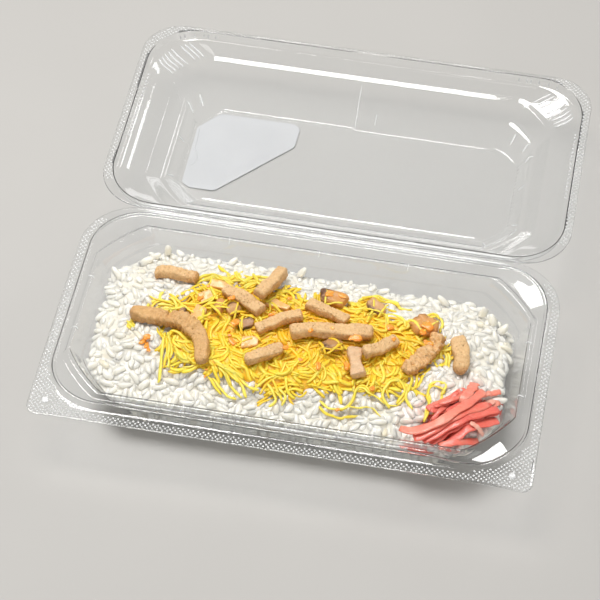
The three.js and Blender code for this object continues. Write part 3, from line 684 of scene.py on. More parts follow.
def away_from(outline, points):
    """Distance of plan points from a closed outline, positive inside it."""
    a, b = outline, np.roll(outline, -1, 0)
    run = b - a
    to = points[:, None] - a[None]
    share = np.clip((to * run).sum(-1) / np.maximum((run * run).sum(-1), 1e-9), 0, 1)
    nearest = np.linalg.norm(to - share[..., None] * run, axis=-1).min(1)
    crosses = (a[None, :, 1] > points[:, None, 1]) != (b[None, :, 1] > points[:, None, 1])
    slope = run[:, 0] / np.where(np.abs(run[:, 1]) < 1e-9, 1e-9, run[:, 1])
    at_x = a[None, :, 0] + (points[:, None, 1] - a[None, :, 1]) * slope
    inside = (crosses & (points[:, None, 0] < at_x)).sum(1) % 2 == 1
    return np.where(inside, nearest, -nearest)


def knurl_places(outer, inner, keep):
    """A diamond pattern of points on a flange, between its edge and the foot of its step."""
    rows = np.arange(-70, 190, KNURL_PITCH / 2)
    columns = np.arange(-112, 112, KNURL_PITCH)
    spots = np.array([(x + KNURL_PITCH / 2 * (j % 2), y) for j, y in enumerate(rows) for x in columns])
    spots = spots[keep(spots)]
    to_edge = away_from(outer, spots)
    to_foot = -away_from(inner, spots)
    clear = (to_edge > 0.75) & (to_foot > 0.6)
    return spots[clear], to_edge[clear]


def rib(path, width, height):
    return closed_tube(swept(path, width, height, 6, (0.3, 0.85), squareness=2.0))


def rim_rib(x, y, out_x, out_y, inner):
    """A short rib over the tray's rim, from its outer side to its inner side."""
    run = ((1.6, -0.7), (0.7, 0.12), (-0.7, 0.12), (-inner, -1.6))
    return rib([(x + out_x * reach, y + out_y * reach, RIM_TOP + rise) for reach, rise in run], 0.9, 0.7)


RIB_LIFT = 0.05


def surface_path(grid, normals, column, top, bottom, steps=9):
    """A line down a grid's column between two heights, a little above the surface."""
    heights = grid[:, column, 2]
    order = np.argsort(-heights, kind="stable")
    wanted = np.linspace(top, bottom, steps)
    rows = np.interp(-wanted, -heights[order], order.astype(float))
    low = np.floor(rows).astype(int)
    part = (rows - low)[:, None]
    high = np.minimum(low + 1, len(grid) - 1)
    where = grid[low, column] * (1 - part) + grid[high, column] * part
    facing = normals[low, column] * (1 - part) + normals[high, column] * part
    return where + facing * RIB_LIFT


def nearest_column(grid, height, x, y):
    """The grid's column that passes nearest a plan point at a height."""
    rows = np.abs(grid[..., 2] - height).argmin(0)
    places = grid[rows, np.arange(grid.shape[1])]
    return int(np.argmin(np.hypot(places[:, 0] - x, places[:, 1] - y)))


def tray_relief():
    relief = Bulk()
    outer, inner = ring(tray_levels()[0])[:, :2], ring(tray_levels()[3])[:, :2]
    spots, to_edge = knurl_places(outer, inner, lambda p: p[:, 1] < 52)
    tab = (np.abs(spots[:, 0]) > 84) & (spots[:, 1] < -38)
    spots = spots[(to_edge < 3.7) | tab]
    for x, y in spots:
        if min(math.hypot(x - button_x, y - button_y) for button_x, button_y in CORNER_BUTTONS) < 2.2:
            continue
        relief.add(*dome((x, y, flange_height(x, y)), 0.52, KNURL_RISE, 7))
    for x, y in CORNER_BUTTONS:
        relief.add(*dome((x, y, flange_height(x, y)), 1.7, FLANGE_TOP + 0.1 - flange_height(x, y), 16))
    for x in (-42.4, -1.0, 39.8):
        for y, way in ((-48.7, -1), (47.3, 1)):
            relief.add(*rim_rib(x, y, 0, way, 1.5))
    for x in (-98.9, 98.9):
        for y in (-15.4, 14.2):
            relief.add(*rim_rib(x, y, math.copysign(1, x), 0, 1.6))
    return relief


def flange_height(x, y):
    """The flange's face at a plan point, with the droop of its free corners."""
    away = math.hypot(abs(x) - HALF_LENGTH, y + HALF_DEPTH)
    drop = DROOP[0] if x > 0 else DROOP[1]
    return FLANGE_FACE - drop * float(smooth_step((DROOP_REACH - away) / DROOP_REACH))


LID_MARKS = (
    # a short rib on the lid's wall: plan point, upper and lower end
    (-82.4, 145.6, 9.0, 4.6), (-77.0, 149.6, 8.6, 4.6), (-84.6, 124.3, 8.4, 4.4), (76.2, 155.5, 8.4, 4.6),
    (82.0, 149.0, 9.0, 5.4), (86.4, 142.6, 9.2, 6.0), (85.0, 124.2, 8.4, 4.4), (86.0, 100.0, 8.0, 4.4),
    (71.0, 84.0, 8.4, 4.4), (-71.0, 84.0, 8.0, 4.2), (-86.0, 100.0, 8.4, 4.8),
)


def lid_relief(grid):
    relief = Bulk()
    normals = sheet_normals(grid)
    outer, inner = ring(lid_levels()[0])[:, :2], ring(lid_levels()[3])[:, :2]
    for x, y in knurl_places(outer, inner, lambda p: p[:, 1] > 76)[0]:
        relief.add(*dome((x, y, FLANGE_FACE), 0.48, KNURL_RISE, 7))
    for x_side in (-1, 1):
        for y in np.arange(109, 151, 2.4):
            relief.add(*dome((x_side * 104.4, y, FLANGE_TOP - 4.95), 0.55, 0.5, 8))
        for x in np.arange(74.5, 94, 3.8):
            column = nearest_column(grid, 23.0, x_side * x - 2, 176)
            relief.add(*rib(surface_path(grid, normals, column, 24.2, 21.6, 6), 0.75, 0.6))
    for x_side in (-1, 1):
        for share in np.linspace(0, 1, 8):
            column = nearest_column(grid, 17.5, x_side * (102.5 - 18 * share), 159.5 + 13.5 * share)
            relief.add(*rib(surface_path(grid, normals, column, 20.4, 15.9), 1.0, 0.8))
    for x, y, top, bottom in LID_MARKS:
        column = nearest_column(grid, (top + bottom) / 2, x, y)
        relief.add(*rib(surface_path(grid, normals, column, top, bottom, 6), 1.0, 0.7))
    for x, top, low in ((FOLD_X, 14.2, 1.9), (FOLD_X + 9.5, 7.0, 3.6)):
        column = nearest_column(grid, 6.0, x, 156)
        relief.add(*rib(surface_path(grid, normals, column, top, low, 9), 0.6, 0.5))
    return relief


def crease(y, half):
    """The raised line along one side of the hinge."""
    path = np.array([(x, y, FLANGE_TOP - 0.19 + 0.0006 * abs(x)) for x in np.linspace(-half, half, 41)])
    return closed_tube(swept(path, 1.1, 0.55, 8, (0.2, 0.8), squareness=2.0))


def build_pack():
    clear = clear_sheet("clear_sheet")
    knurled = clear_sheet("clear_sheet_knurl", frost=0.16, wave_mm=5, milky=0.4)
    tray = with_droop(with_tilted_webs(rounded(tray_levels())))
    one_piece("tray_sheet", sheet_mesh(tray), clear, body=BODY_TRAY, nodes=["tray"], slot="clear_sheet")
    lid = with_scallops(with_fold(rounded(lid_levels())))
    one_piece("lid_sheet", sheet_mesh(lid), clear, body=BODY_LID, nodes=["lid"], slot="clear_sheet")
    relief = tray_relief()
    relief.add(*crease(59.6, 85))
    relief.piece("tray_knurl", knurled, body=BODY_TRAY, slot="clear_sheet")
    relief = lid_relief(lid)
    relief.add(*crease(63.5, 87))
    relief.piece("lid_knurl", knurled, body=BODY_LID, slot="clear_sheet")


# ---- the sticker ----
STICKER = ((-78, 102), (-74, 99.4), (-61.6, 99.4), (-29, 134.4), (-28.6, 146.6), (-31.4, 149.6),
           (-68.6, 149.6), (-78.2, 138.6))
STICKER_CORNER = 1.6
STICKER_FOLD = ((-77.2, 137.6), (-76.7, 130.2), (-76.5, 124.6), (-74.6, 121.2), (-74.4, 116.8),
                (-76.0, 113.4))
STICKER_LEVELS = (
    # share of the outline, height
    (0.3, 0.32), (0.7, 0.32), (0.995, 0.32), (1, 0.36), (1, 0.5), (0.995, 0.55), (0.97, 0.56), (0.7, 0.56),
    (0.3, 0.56),
)


def soft_outline(corners):
    """A polygon with its corners rounded off."""
    corners = np.asarray(corners, float)
    outline = []
    for before, here, after in zip(np.roll(corners, 1, 0), corners, np.roll(corners, -1, 0)):
        start = here + (before - here) * min(0.45, STICKER_CORNER / np.linalg.norm(before - here))
        end = here + (after - here) * min(0.45, STICKER_CORNER / np.linalg.norm(after - here))
        for t in np.linspace(0, 1, 5):
            outline.append((1 - t) ** 2 * start + 2 * t * (1 - t) * here + t * t * end)
    return np.array(outline)


def build_sticker():
    outline = soft_outline(STICKER)
    middle = outline.mean(0)
    rings = []
    for share, z in STICKER_LEVELS:
        plan = middle + (outline - middle) * share
        lift = 0.02 * plan_noise(*plan.T, 14, 3)
        rings.append(np.column_stack([plan, z + lift]))
    sheet = Bulk()
    sheet.add(*closed_tube(np.array(rings)))
    fold = resampled(STICKER_FOLD, 40)
    sheet.add(*closed_tube(swept(np.column_stack([fold, np.full(40, 0.58)]), 0.8, 0.36, 8, (0.3, 0.7))))
    sheet.piece("sticker_sheet", paper_look(), body=BODY_LID, nodes=["sticker"], slot="sticker_paper",
                sharp=50)


# ---- the form of the food, as in the CAD source ----
def from_rim(x, y):
    """How far plan points lie inside the rim's ends, and inside its front or back."""
    return RIM["half"] - np.abs(x), np.where(y > 0, RIM["back"] - y, y - RIM["front"])


def inside_basin(x, y):
    side_x, side_y = from_rim(x, y)
    cut_x, cut_y = OCTAGON
    corner = (side_x * cut_y + side_y * cut_x - cut_x * cut_y) / math.hypot(cut_x, cut_y)
    return np.minimum(np.minimum(side_x, side_y), corner)


def rice_core(x, y):
    rise = RICE_CROWN * smooth_step((inside_basin(x, y) - 4) / 26)
    ends = 1.8 * smooth_step((np.abs(x) - 62) / 24) * np.where(y < 28, 1, 0.3)
    waves = 0.7 * np.sin(x / 15 + 0.6) * np.cos(y / 11 - 0.4)
    return RICE_EDGE - 1 + rise + ends + waves - 0.02 * np.maximum(0, y)


def egg_cover(x, y):
    along = (x - EGG_MIDDLE[0]) / EGG_REACH[0]
    across = (y - EGG_MIDDLE[1]) / EGG_REACH[1]
    angle = np.arctan2(across, along)
    edge = 1 + 0.05 * np.sin(3 * angle + 1.2) + 0.05 * np.sin(7 * angle) + 0.03 * np.cos(11 * angle)
    return 1 - (np.abs(along) ** 2.6 + np.abs(across) ** 2.6) ** (1 / 2.6) / edge


def egg_shown(x, y):
    """The egg's cover as its shreds fill it: held back along the front, most of all near its left end."""
    bare = np.exp(-((x + 40) / 7) ** 2 - ((y + 34) / 7) ** 2)
    bare = bare + 0.6 * np.exp(-((x + 53) / 7) ** 2 - ((y + 27) / 6) ** 2)
    return egg_cover(x, y) - 0.2 * bare - 0.04 * smooth_step((-22 - y) / 8)


def ginger_cover(x, y):
    dx, dy = x - GINGER_MIDDLE[0], y - GINGER_MIDDLE[1]
    along = (dx * math.cos(GINGER_YAW) + dy * math.sin(GINGER_YAW)) / GINGER_REACH[0]
    across = (dy * math.cos(GINGER_YAW) - dx * math.sin(GINGER_YAW)) / GINGER_REACH[1]
    return 1 - np.hypot(along, across)


def rice_top(x, y):
    """The top of the loose grains: fuller than the core, lower where the back corners aren't filled."""
    back_corner = smooth_step((17 - (inside_basin(x, y) - 2)) / 14) * smooth_step((np.abs(x) - 70) / 12)
    back_corner = back_corner * smooth_step((y - 20) / 10)
    back_right = smooth_step((x - 20) / 25) * smooth_step((y - 34) / 8)
    back_left = smooth_step((-8 - x) / 10) * smooth_step((y - 20) / 14)
    lumps = plan_noise(x, y, 11, 5) + 0.5 * plan_noise(x, y, 5, 6)
    corner = np.where(x > 0, 3.6, 0.6) * back_corner
    return rice_core(x, y) + 1.6 + 0.95 * lumps - corner - 4.2 * back_right + 1.3 * back_left


def down_wall(z):
    """The share of the way down the basin's walls at a height."""
    return (WALL_TOP - z) / (WALL_TOP - WALL_FOOT["z"])


def wall_inset(z):
    """How far the basin's walls stand in from the rim at a height: at the ends, the front and the back."""
    share = down_wall(z)
    return 1.8 + 14.9 * share, 1 + 7.2 * share, 1 + 7.4 * share


class Pile:
    """The height of everything laid so far, on a fine grid over the basin."""

    STEP = 0.5
    LOW = (-100.0, -52.0)
    SIZE = (401, 209)

    def __init__(self):
        xs = self.LOW[0] + np.arange(self.SIZE[0]) * self.STEP
        ys = self.LOW[1] + np.arange(self.SIZE[1]) * self.STEP
        self.x, self.y = np.meshgrid(xs, ys, indexing="ij")
        self.height = np.zeros(self.SIZE)

    def cell(self, x, y):
        i = np.clip(np.round((np.asarray(x) - self.LOW[0]) / self.STEP).astype(int), 0, self.SIZE[0] - 1)
        j = np.clip(np.round((np.asarray(y) - self.LOW[1]) / self.STEP).astype(int), 0, self.SIZE[1] - 1)
        return i, j

    def at(self, x, y):
        return self.height[self.cell(x, y)]

    def around(self, x, y, reach):
        """The highest point within reach of each plan point."""
        spots = [(0, 0), (reach, 0), (-reach, 0), (0, reach), (0, -reach)]
        return np.max([self.at(x + dx, y + dy) for dx, dy in spots], axis=0)

    def sampled(self, field, x, y):
        """A field over the pile's grid, read between its cells."""
        i = np.clip((np.asarray(x) - self.LOW[0]) / self.STEP, 0, self.SIZE[0] - 1.001)
        j = np.clip((np.asarray(y) - self.LOW[1]) / self.STEP, 0, self.SIZE[1] - 1.001)
        a, b = i.astype(int), j.astype(int)
        u, v = i - a, j - b
        near = field[a, b] * (1 - u) + field[a + 1, b] * u
        far = field[a, b + 1] * (1 - u) + field[a + 1, b + 1] * u
        return near * (1 - v) + far * v

    def softened(self, times=3):
        """The pile's height with its fine relief blurred away."""
        soft = self.height
        for _ in range(times):
            for axis in (0, 1):
                soft = np.mean([np.roll(soft, step, axis) for step in range(-2, 3)], axis=0)
        return soft

    def lay_balls(self, centres, radii):
        """Raises the pile to the tops of a chain of balls."""
        reach = int(math.ceil(np.max(radii) / self.STEP))
        steps = np.arange(-reach, reach + 1) * self.STEP
        dx, dy = np.meshgrid(steps, steps, indexing="ij")
        apart = (dx ** 2 + dy ** 2).ravel()
        radii = np.broadcast_to(radii, (len(centres),))
        rise = radii[:, None] ** 2 - apart[None]
        inside = rise > 0
        tops = centres[:, 2:3] + np.sqrt(np.maximum(rise, 0))
        i, j = self.cell(centres[:, 0:1] + dx.ravel(), centres[:, 1:2] + dy.ravel())
        np.maximum.at(self.height, (i[inside], j[inside]), tops[inside])


def spaced(outline, count):
    """A closed plan outline as evenly spread points."""
    closed = np.vstack([outline, outline[:1]])
    run = np.concatenate([[0], np.cumsum(np.linalg.norm(np.diff(closed, axis=0), axis=1))])
    even = np.arange(count) / count * run[-1]
    return np.stack([np.interp(even, run, closed[:, axis]) for axis in (0, 1)], -1)


# ---- rice ----
def grain_mesh():
    """A cooked grain along X: plump, slightly bent, one end blunter than the other."""
    rows = []
    for t in (-0.985, -0.8, -0.32, 0.26, 0.77, 0.98):
        reach = (1 - abs(t) ** 2.7) ** 0.52
        swell = reach * (1 - 0.08 * t)
        angle = np.arange(GRAIN_SIDES) / GRAIN_SIDES * 2 * math.pi
        rows.append(np.stack([np.full(GRAIN_SIDES, t * GRAIN[0] / 2), np.cos(angle) * swell * GRAIN[1] / 2,
                              np.sin(angle) * swell * GRAIN[2] / 2 + 0.25 * (0.4 - t * t)], -1))
    return closed_tube(np.array(rows))


GRAIN_MESH = grain_mesh()
# the pile feels a grain as a chain of balls, given by their places along it and their radii
BALLS = np.array([-2.65, -1.6, -0.55, 0.55, 1.6, 2.65])
BALL_RADII = np.array([0.98, 1.33, 1.44, 1.44, 1.33, 0.98])


def lay_grain(pile, x, y, yaw, random, sink):
    """Where a grain comes to rest on the pile: its middle and its pitch."""
    way = np.array([math.cos(yaw), math.sin(yaw)])
    ends = pile.around(x + way[0] * np.array([-2.3, 2.3]), y + way[1] * np.array([-2.3, 2.3]), 0.5)
    pitch = -math.atan2(ends[1] - ends[0], 4.6) * 0.85 + random.normal(0, 0.2)
    pitch = float(np.clip(pitch, -0.75, 0.75))
    along = BALLS * math.cos(pitch)
    rise = -BALLS * math.sin(pitch)
    under = pile.around(x + way[0] * along, y + way[1] * along, 0.4)
    return float(np.max(under + BALL_RADII - rise)) - sink, pitch


def scatter_top(pile, grains, random):
    """Grains dropped where the pile is lowest under its wanted top."""
    wanted = rice_top(pile.x, pile.y)
    inset = inside_basin(pile.x, pile.y)
    ends, front, back = wall_inset(wanted - 1)
    side_x, side_y = from_rim(pile.x, pile.y)
    margin = np.where(pile.y > 0, back, front)
    open_place = (side_x > ends + 1.7) & (side_y > margin + 1.6) & (inset > 6.2)
    shown = (egg_shown(pile.x, pile.y) < 0.2) & (ginger_cover(pile.x, pile.y) < 0.35)
    cells = np.argwhere(open_place & shown)
    for _ in range(GRAIN_TRIES):
        tries = cells[random.integers(0, len(cells), 14)]
        lack = wanted[tries[:, 0], tries[:, 1]] - pile.height[tries[:, 0], tries[:, 1]]
        best = tuple(tries[np.argmax(lack)])
        if lack.max() < 0.7:
            continue
        x = pile.x[best] + random.uniform(-0.25, 0.25)
        y = pile.y[best] + random.uniform(-0.25, 0.25)
        options = [(lay_grain(pile, x, y, yaw, random, 1.0), yaw) for yaw in random.uniform(0, math.pi, 4)]
        (z, pitch), yaw = min(options, key=lambda option: option[0][0])
        if z > wanted[best] + 0.9:
            continue
        add_grain(pile, grains, (x, y, z), yaw, pitch, random)


def add_grain(pile, grains, centre, yaw, pitch, random, scale=None):
    size = random.uniform(0.88, 1.08) if scale is None else scale
    is_broken = scale is None and random.random() < 0.2
    length = random.uniform(0.55, 0.8) if is_broken else random.uniform(0.88, 1.1)
    stretch = size * np.array([length, random.uniform(0.86, 1.1), random.uniform(0.9, 1.12)])
    points, quads, triangles = GRAIN_MESH
    bent = points * stretch
    bent[:, 1] += random.normal(0, 0.035) * (bent[:, 0] ** 2 - 4)
    shape = turned(bent, yaw, pitch, random.uniform(0, 2 * math.pi))
    shape = shape + 0.13 * unit(shape) * noise(shape + centre, 1.9, 17)[:, None] + np.asarray(centre)
    tone = np.clip(random.normal(0.62, 0.2), 0, 1)
    grains.add(shape, quads, triangles, tone)
    if pile is not None:
        way = np.array([math.cos(yaw) * math.cos(pitch), math.sin(yaw) * math.cos(pitch), -math.sin(pitch)])
        pile.lay_balls(np.asarray(centre) + BALLS[:, None] * way, BALL_RADII * size * 0.96)


def wall_places(random):
    """Places against the basin's walls: a point, the wall's run and its slope up and outwards."""
    places = []
    runs = [((-62, 0), (62, 0), "front"), ((-62, 0), (62, 0), "back"), ((0, -18), (0, 17), "left"),
            ((0, -18), (0, 17), "right")]
    for (x0, y0), (x1, y1), side in runs:
        length = math.hypot(x1 - x0, y1 - y0)
        for _ in range(int(length * 26)):
            share, z = random.random(), random.uniform(2.4, 19)
            ends, front, back = wall_inset(z)
            x, y = x0 + (x1 - x0) * share, y0 + (y1 - y0) * share
            if side in ("front", "back"):
                y = RIM["front"] + front + 1.75 if side == "front" else RIM["back"] - back - 1.75
                run = (1, 0, 0)
                up = (0, -0.31 if side == "front" else 0.31, 0.95)
            else:
                sign = -1 if side == "left" else 1
                x = sign * (RIM["half"] - ends - 1.85)
                run = (0, 1, 0)
                up = (sign * 0.53, 0, 0.85)
            places.append((np.array([x, y, z]), np.array(run, float), np.array(up, float)))
    for sign_x in (-1, 1):
        for sign_y in (-1, 1):
            for _ in range(620):
                share, z = random.uniform(0.0, 1.0), random.uniform(2.4, 18)
                start, end = corner_run(sign_x, sign_y, z)
                run = unit(end - start)
                normal = unit(np.array([sign_x * abs(run[1]), sign_y * abs(run[0]), 0]))
                point = start + (end - start) * share - normal * 1.9
                places.append((point, run, unit(normal * 0.5 + [0, 0, 1.0])))
    order = random.permutation(len(places))
    return [places[i] for i in order]


def corner_run(sign_x, sign_y, z):
    """The two ends of the slanting wall at a corner of the basin, at a height."""
    ends, front, back = wall_inset(z)
    share = down_wall(z)
    cut_x = OCTAGON[0] + (FOOT_CORNER[0] - OCTAGON[0]) * share
    cut_y = OCTAGON[1] + (FOOT_CORNER[1] - OCTAGON[1]) * share
    x = sign_x * (RIM["half"] - ends)
    y = RIM["back"] - back if sign_y > 0 else RIM["front"] + front
    return np.array([x - sign_x * cut_x, y, z]), np.array([x, y - sign_y * cut_y, z])


def scatter_walls(grains, random):
    """Grains pressed against the clear walls, where they show from outside."""
    kept = np.zeros((0, 3))
    for point, run, up in wall_places(random):
        if point[2] > rice_top(point[0], point[1]) - 1.2:
            continue
        if len(kept) and np.min(np.linalg.norm(kept - point, axis=1)) < 3.35:
            continue
        kept = np.vstack([kept, point])
        angle = random.uniform(0, math.pi)
        way = unit(run * math.cos(angle) + up * math.sin(angle))
        if point[2] - 3.4 * abs(way[2]) < 2.2:
            way = run
        yaw, pitch = math.atan2(way[1], way[0]), -math.asin(float(np.clip(way[2], -1, 1)))
        add_grain(None, grains, point, yaw, pitch, random, scale=random.uniform(0.92, 1.0))


def rice_bed_mesh(pile, top):
    """The mass of rice that the loose grains are sunk in, from its top's middle out and down its walls."""
    rings = []
    for share in np.concatenate([np.linspace(0.1, 0.5, 6), np.arange(0.515, 0.945, 0.0125)]):
        outline = ring(level(RIM["half"] * share, RIM["front"] * share, RIM["back"] * share, 0,
                             (OCTAGON[0] * share, OCTAGON[1] * share), bend=1.2))
        plan = spaced(outline[:, :2], 760)
        rings.append(np.column_stack([plan, pile.sampled(top, plan[:, 0], plan[:, 1])]))
    last = rings.pop()
    plan = last[:, :2]
    for share in (0.0, 0.3, 0.6, 0.88, 1.0):
        z = last[:, 2] * (1 - share) + 1.6 * share
        ends, front, back = wall_inset(z)
        lean = 1 - 0.12 * share
        inner = np.column_stack([plan[:, 0] * lean, plan[:, 1] * lean])
        limit_x = RIM["half"] - ends - 2.6
        limit_y = np.where(plan[:, 1] > 0, RIM["back"] - back, -(RIM["front"] + front)) - 2.6
        inner[:, 0] = np.clip(inner[:, 0], -limit_x, limit_x)
        inner[:, 1] = np.clip(inner[:, 1], -limit_y, limit_y)
        rings.append(np.column_stack([inner, z]))
    grid = np.array(rings)
    flat = grid.reshape(-1, 3)
    flat[:, 2] += 0.25 * noise(flat, 1.7, 11) * (flat[:, 2] > 3)
    return closed_tube(grid[::-1])


def bed_top(x, y):
    """The bed's top: just under the egg and the ginger, deeper under the loose grains."""
    hidden = np.maximum(smooth_step(egg_shown(x, y) * 9 - 0.4), smooth_step(ginger_cover(x, y) * 5 - 0.6))
    loose = rice_top(x, y) - 1.8 + 0.6 * plan_noise(x, y, 2.6, 12)
    return loose + (rice_core(x, y) - 0.2 - loose) * hidden


UPRIGHT = (
    # plan point, pitch, yaw of grains that stand or lean on the heap's back edge
    (-69.8, 40.4, 1.4, 0.3), (-79.0, 33.5, 0.5, 0.5), (-75.6, 37.0, 0.45, 0.4), (-63.0, 40.6, 0.3, 2.6),
    (-7.9, 40.6, 1.0, 0.2), (58.3, 34.6, 0.7, 2.9), (76.4, 30.6, 1.25, 0.4), (81.7, 27.6, 1.0, 2.5),
    (86.0, 22.2, 0.7, 0.5), (-89.4, 22.6, 0.5, 2.4), (-40.0, 40.0, 0.5, 0.9), (30.0, 38.6, 0.5, 0.2),
)


def build_rice(pile, random):
    pile.height = bed_top(pile.x, pile.y)
    grains = Bulk()
    scatter_top(pile, grains, random)
    loose = smooth_step((-16 - pile.y) / 14)
    bed = pile.softened() - (BED_DROP[0] + (BED_DROP[1] - BED_DROP[0]) * loose)
    pile.height = np.maximum(pile.height, bed)
    shape = rice_bed_mesh(pile, bed)
    # the bed wears the rice's darker copy, which is painted shade
    one_piece("rice_bed", shape, rice_look("rice_deep_shaded", deep=True), slot="rice",
              tones=np.full(len(shape[0]), 0.5))
    for x, y, pitch, yaw in UPRIGHT:
        z = float(pile.around(x, y, 1.0)) + 3.4 * math.sin(pitch) - 1.5
        add_grain(pile, grains, (x, y, z), yaw, -pitch, random, scale=1.05)
    scatter_walls(grains, random)
    grains.piece("rice_grains", rice_look("rice"), nodes=["rice"], slot="rice")


# ---- strands that drape over the pile ----
def wander(random, start, heading, length, curl):
    """A plan line in steps of a millimetre whose heading drifts smoothly, as tightly as curl allows."""
    count = max(6, int(length))
    knots = random.normal(0, curl, max(3, count // 6) + 2)
    bend = np.interp(np.linspace(0, len(knots) - 1, count), np.arange(len(knots)), knots)
    yaw = heading + np.cumsum(bend)
    steps = np.stack([np.cos(yaw), np.sin(yaw)], -1)
    return np.asarray(start) + np.concatenate([[[0, 0]], np.cumsum(steps, axis=0)])


def drape(rest, slope):
    """The lowest line over the rest heights that never falls or climbs faster than the slope."""
    line = rest.copy()
    for i in range(1, len(line)):
        line[i] = max(line[i], line[i - 1] - slope)
    for i in range(len(line) - 2, -1, -1):
        line[i] = max(line[i], line[i + 1] - slope)
    padded = np.concatenate([line[:1], line, line[-1:]])
    return np.maximum((padded[:-2] + padded[1:-1] + padded[2:]) / 3, rest - 0.25)


def egg_full(x, y):
    """The wanted top of the egg shreds."""
    mound = 2.6 * smooth_step(egg_cover(x, y) * 4.5 + 0.12)
    return rice_core(x, y) + 0.9 + mound + 0.8 * plan_noise(x, y, 10, 31)


def lay_strand(pile, bulk, plan, width, thick, tone, random, sink=0.42, slope=0.42, top=None, twist=0.9,
               sides=6, ends=(0.55, 0.92), squareness=2.5):
    """Drapes a strand over the pile and adds it, unless it would lie above the wanted top."""
    rest = pile.around(plan[:, 0], plan[:, 1], width * 0.3) + thick / 2 - sink
    z = drape(rest, slope)
    if top is not None and (z - top(plan[:, 0], plan[:, 1])).mean() > 0.5:
        return False
    path = np.column_stack([plan, z])
    roll = np.cumsum(random.normal(0, 0.1, len(path))) * twist
    wide = width * (1 + 0.12 * np.sin(np.arange(len(path)) * 0.7 + random.uniform(0, 6)))
    bulk.add(*closed_tube(swept(path, wide, thick, sides, ends, roll, squareness)), tone)
    pile.lay_balls(path - [0, 0, (width - thick) * 0.3], np.full(len(path), width * 0.5))
    return True


def closed_on_rice(rings, every=1):
    """A mass topped by rings from its middle out, closed by an underside a little inside the rice."""
    under = [np.column_stack([r[:, :2], rice_core(r[:, 0], r[:, 1]) - 0.6]) for r in rings[::every]]
    return closed_tube(np.array(under + rings[::-1]))


def egg_bed_mesh(pile, top):
    """The mass of egg that the shreds are matted into."""
    angle = np.arange(400) / 400 * 2 * math.pi
    rings = []
    for share in np.linspace(0.06, 0.83, 30):
        plan = egg_outline(angle, share)
        z = pile.sampled(top, plan[:, 0], plan[:, 1]) - 2.5 * smooth_step((0.28 - egg_shown(*plan.T)) / 0.11)
        z += 0.3 * noise(np.column_stack([plan, z]), 1.4, 21)
        rings.append(np.column_stack([plan, z]))
    return closed_on_rice(rings, 6)


def egg_bed_top(x, y):
    return rice_core(x, y) - 0.1 + 1.9 * smooth_step((egg_cover(x, y) - 0.16) * 5)


def egg_outline(angle, share):
    """Plan points where the egg's cover is one less a share, in every direction from its middle."""
    reach = np.full(len(angle), 60.0)
    for _ in range(24):
        x = EGG_MIDDLE[0] + np.cos(angle) * reach
        y = EGG_MIDDLE[1] + np.sin(angle) * reach
        reach *= (share / np.maximum(1 - egg_cover(x, y), 1e-3)) ** 0.8
    return np.stack([EGG_MIDDLE[0] + np.cos(angle) * reach, EGG_MIDDLE[1] + np.sin(angle) * reach], -1)


EGG_STRANDS = 850
EGG_LOOPS = (
    ((59.8, -31.2), (60.9, -24), (59, -17.8), (61.8, -12.8), (65.8, -13.7), (65.2, -21), (63, -29.5)),
    ((23.5, -33), (27.7, -29.3), (29.9, -21.8), (35.6, -24.5), (41.7, -27.1), (47.3, -26.6)),
    ((47.3, -26.6), (50, -22), (47, -16), (42, -18), (40, -24), (44, -29)),
    ((14, -30), (21, -33), (29, -31), (36, -29), (41, -33)),
    ((27.4, 13.2), (28.3, 17.9), (31.7, 19.2), (34.8, 16.9), (35.7, 11.3), (32.5, 9), (28.4, 10.6)),
    ((20.6, 26.3), (24.4, 30.6), (30.4, 32.3), (36.9, 31.3), (40.1, 28.4), (45.1, 28.2)),
    ((49.7, 22.1), (56.6, 24), (59.3, 20.5), (59.3, 14.8)),
    ((47, -8), (52, -14), (50, -22), (54, -28)),
    ((-60, -12), (-58.5, -22), (-57, -34)),
    ((-58, -10), (-55.5, -18), (-54, -27)),
    ((-72, -3), (-75.5, -4.6), (-77.6, -7.4), (-75.4, -9.2)),
    ((-78, -5), (-76, -7.6), (-73, -8.6)),
    ((-34, -28), (-27, -34), (-22, -36)),
    ((-10, -27), (-5, -33), (-7, -37)),
    ((-33, -23), (-28, -27), (-25, -31.4), (-20, -35)),
    ((-35, -21), (-27, -25), (-21, -30), (-18, -34.6)),
    ((-5, -28), (-1.4, -31), (-2, -35.6)),
    ((-30, -24), (-24, -26), (-16, -31), (-13, -31)),
    ((-44, 36), (-38, 30), (-28, 30), (-18, 34)),
    ((-51, 25.4), (-45, 28.2), (-38, 28), (-31, 29.6)),
    ((-46, 24), (-40, 27), (-35.4, 31.6), (-34, 34.4)),
    ((-40, 25), (-34, 28.4), (-27, 28), (-20, 30)),
    ((-33, 26), (-29, 30.4), (-24, 31.4), (-18.6, 30)),
    ((-53, 22), (-47, 25.6), (-41, 25.8)),
    ((-31, 24), (-26, 27), (-20.6, 27)),
    ((-36.6, 34), (-34.4, 30), (-30, 26.6)),
    ((-49, 23.6), (-43, 26.8), (-37, 26.6)),
    ((-28, 32), (-26, 28.6), (-22, 25)),
)


def egg_tone(x, y):
    """Lemon at the edges, golden under the toppings, in soft patches."""
    golden = math.exp(-((x - 16) / 34) ** 2 - ((y - 4) / 15) ** 2)
    return 0.74 - 0.42 * golden + 0.2 * float(plan_noise(x, y, 15, 41))


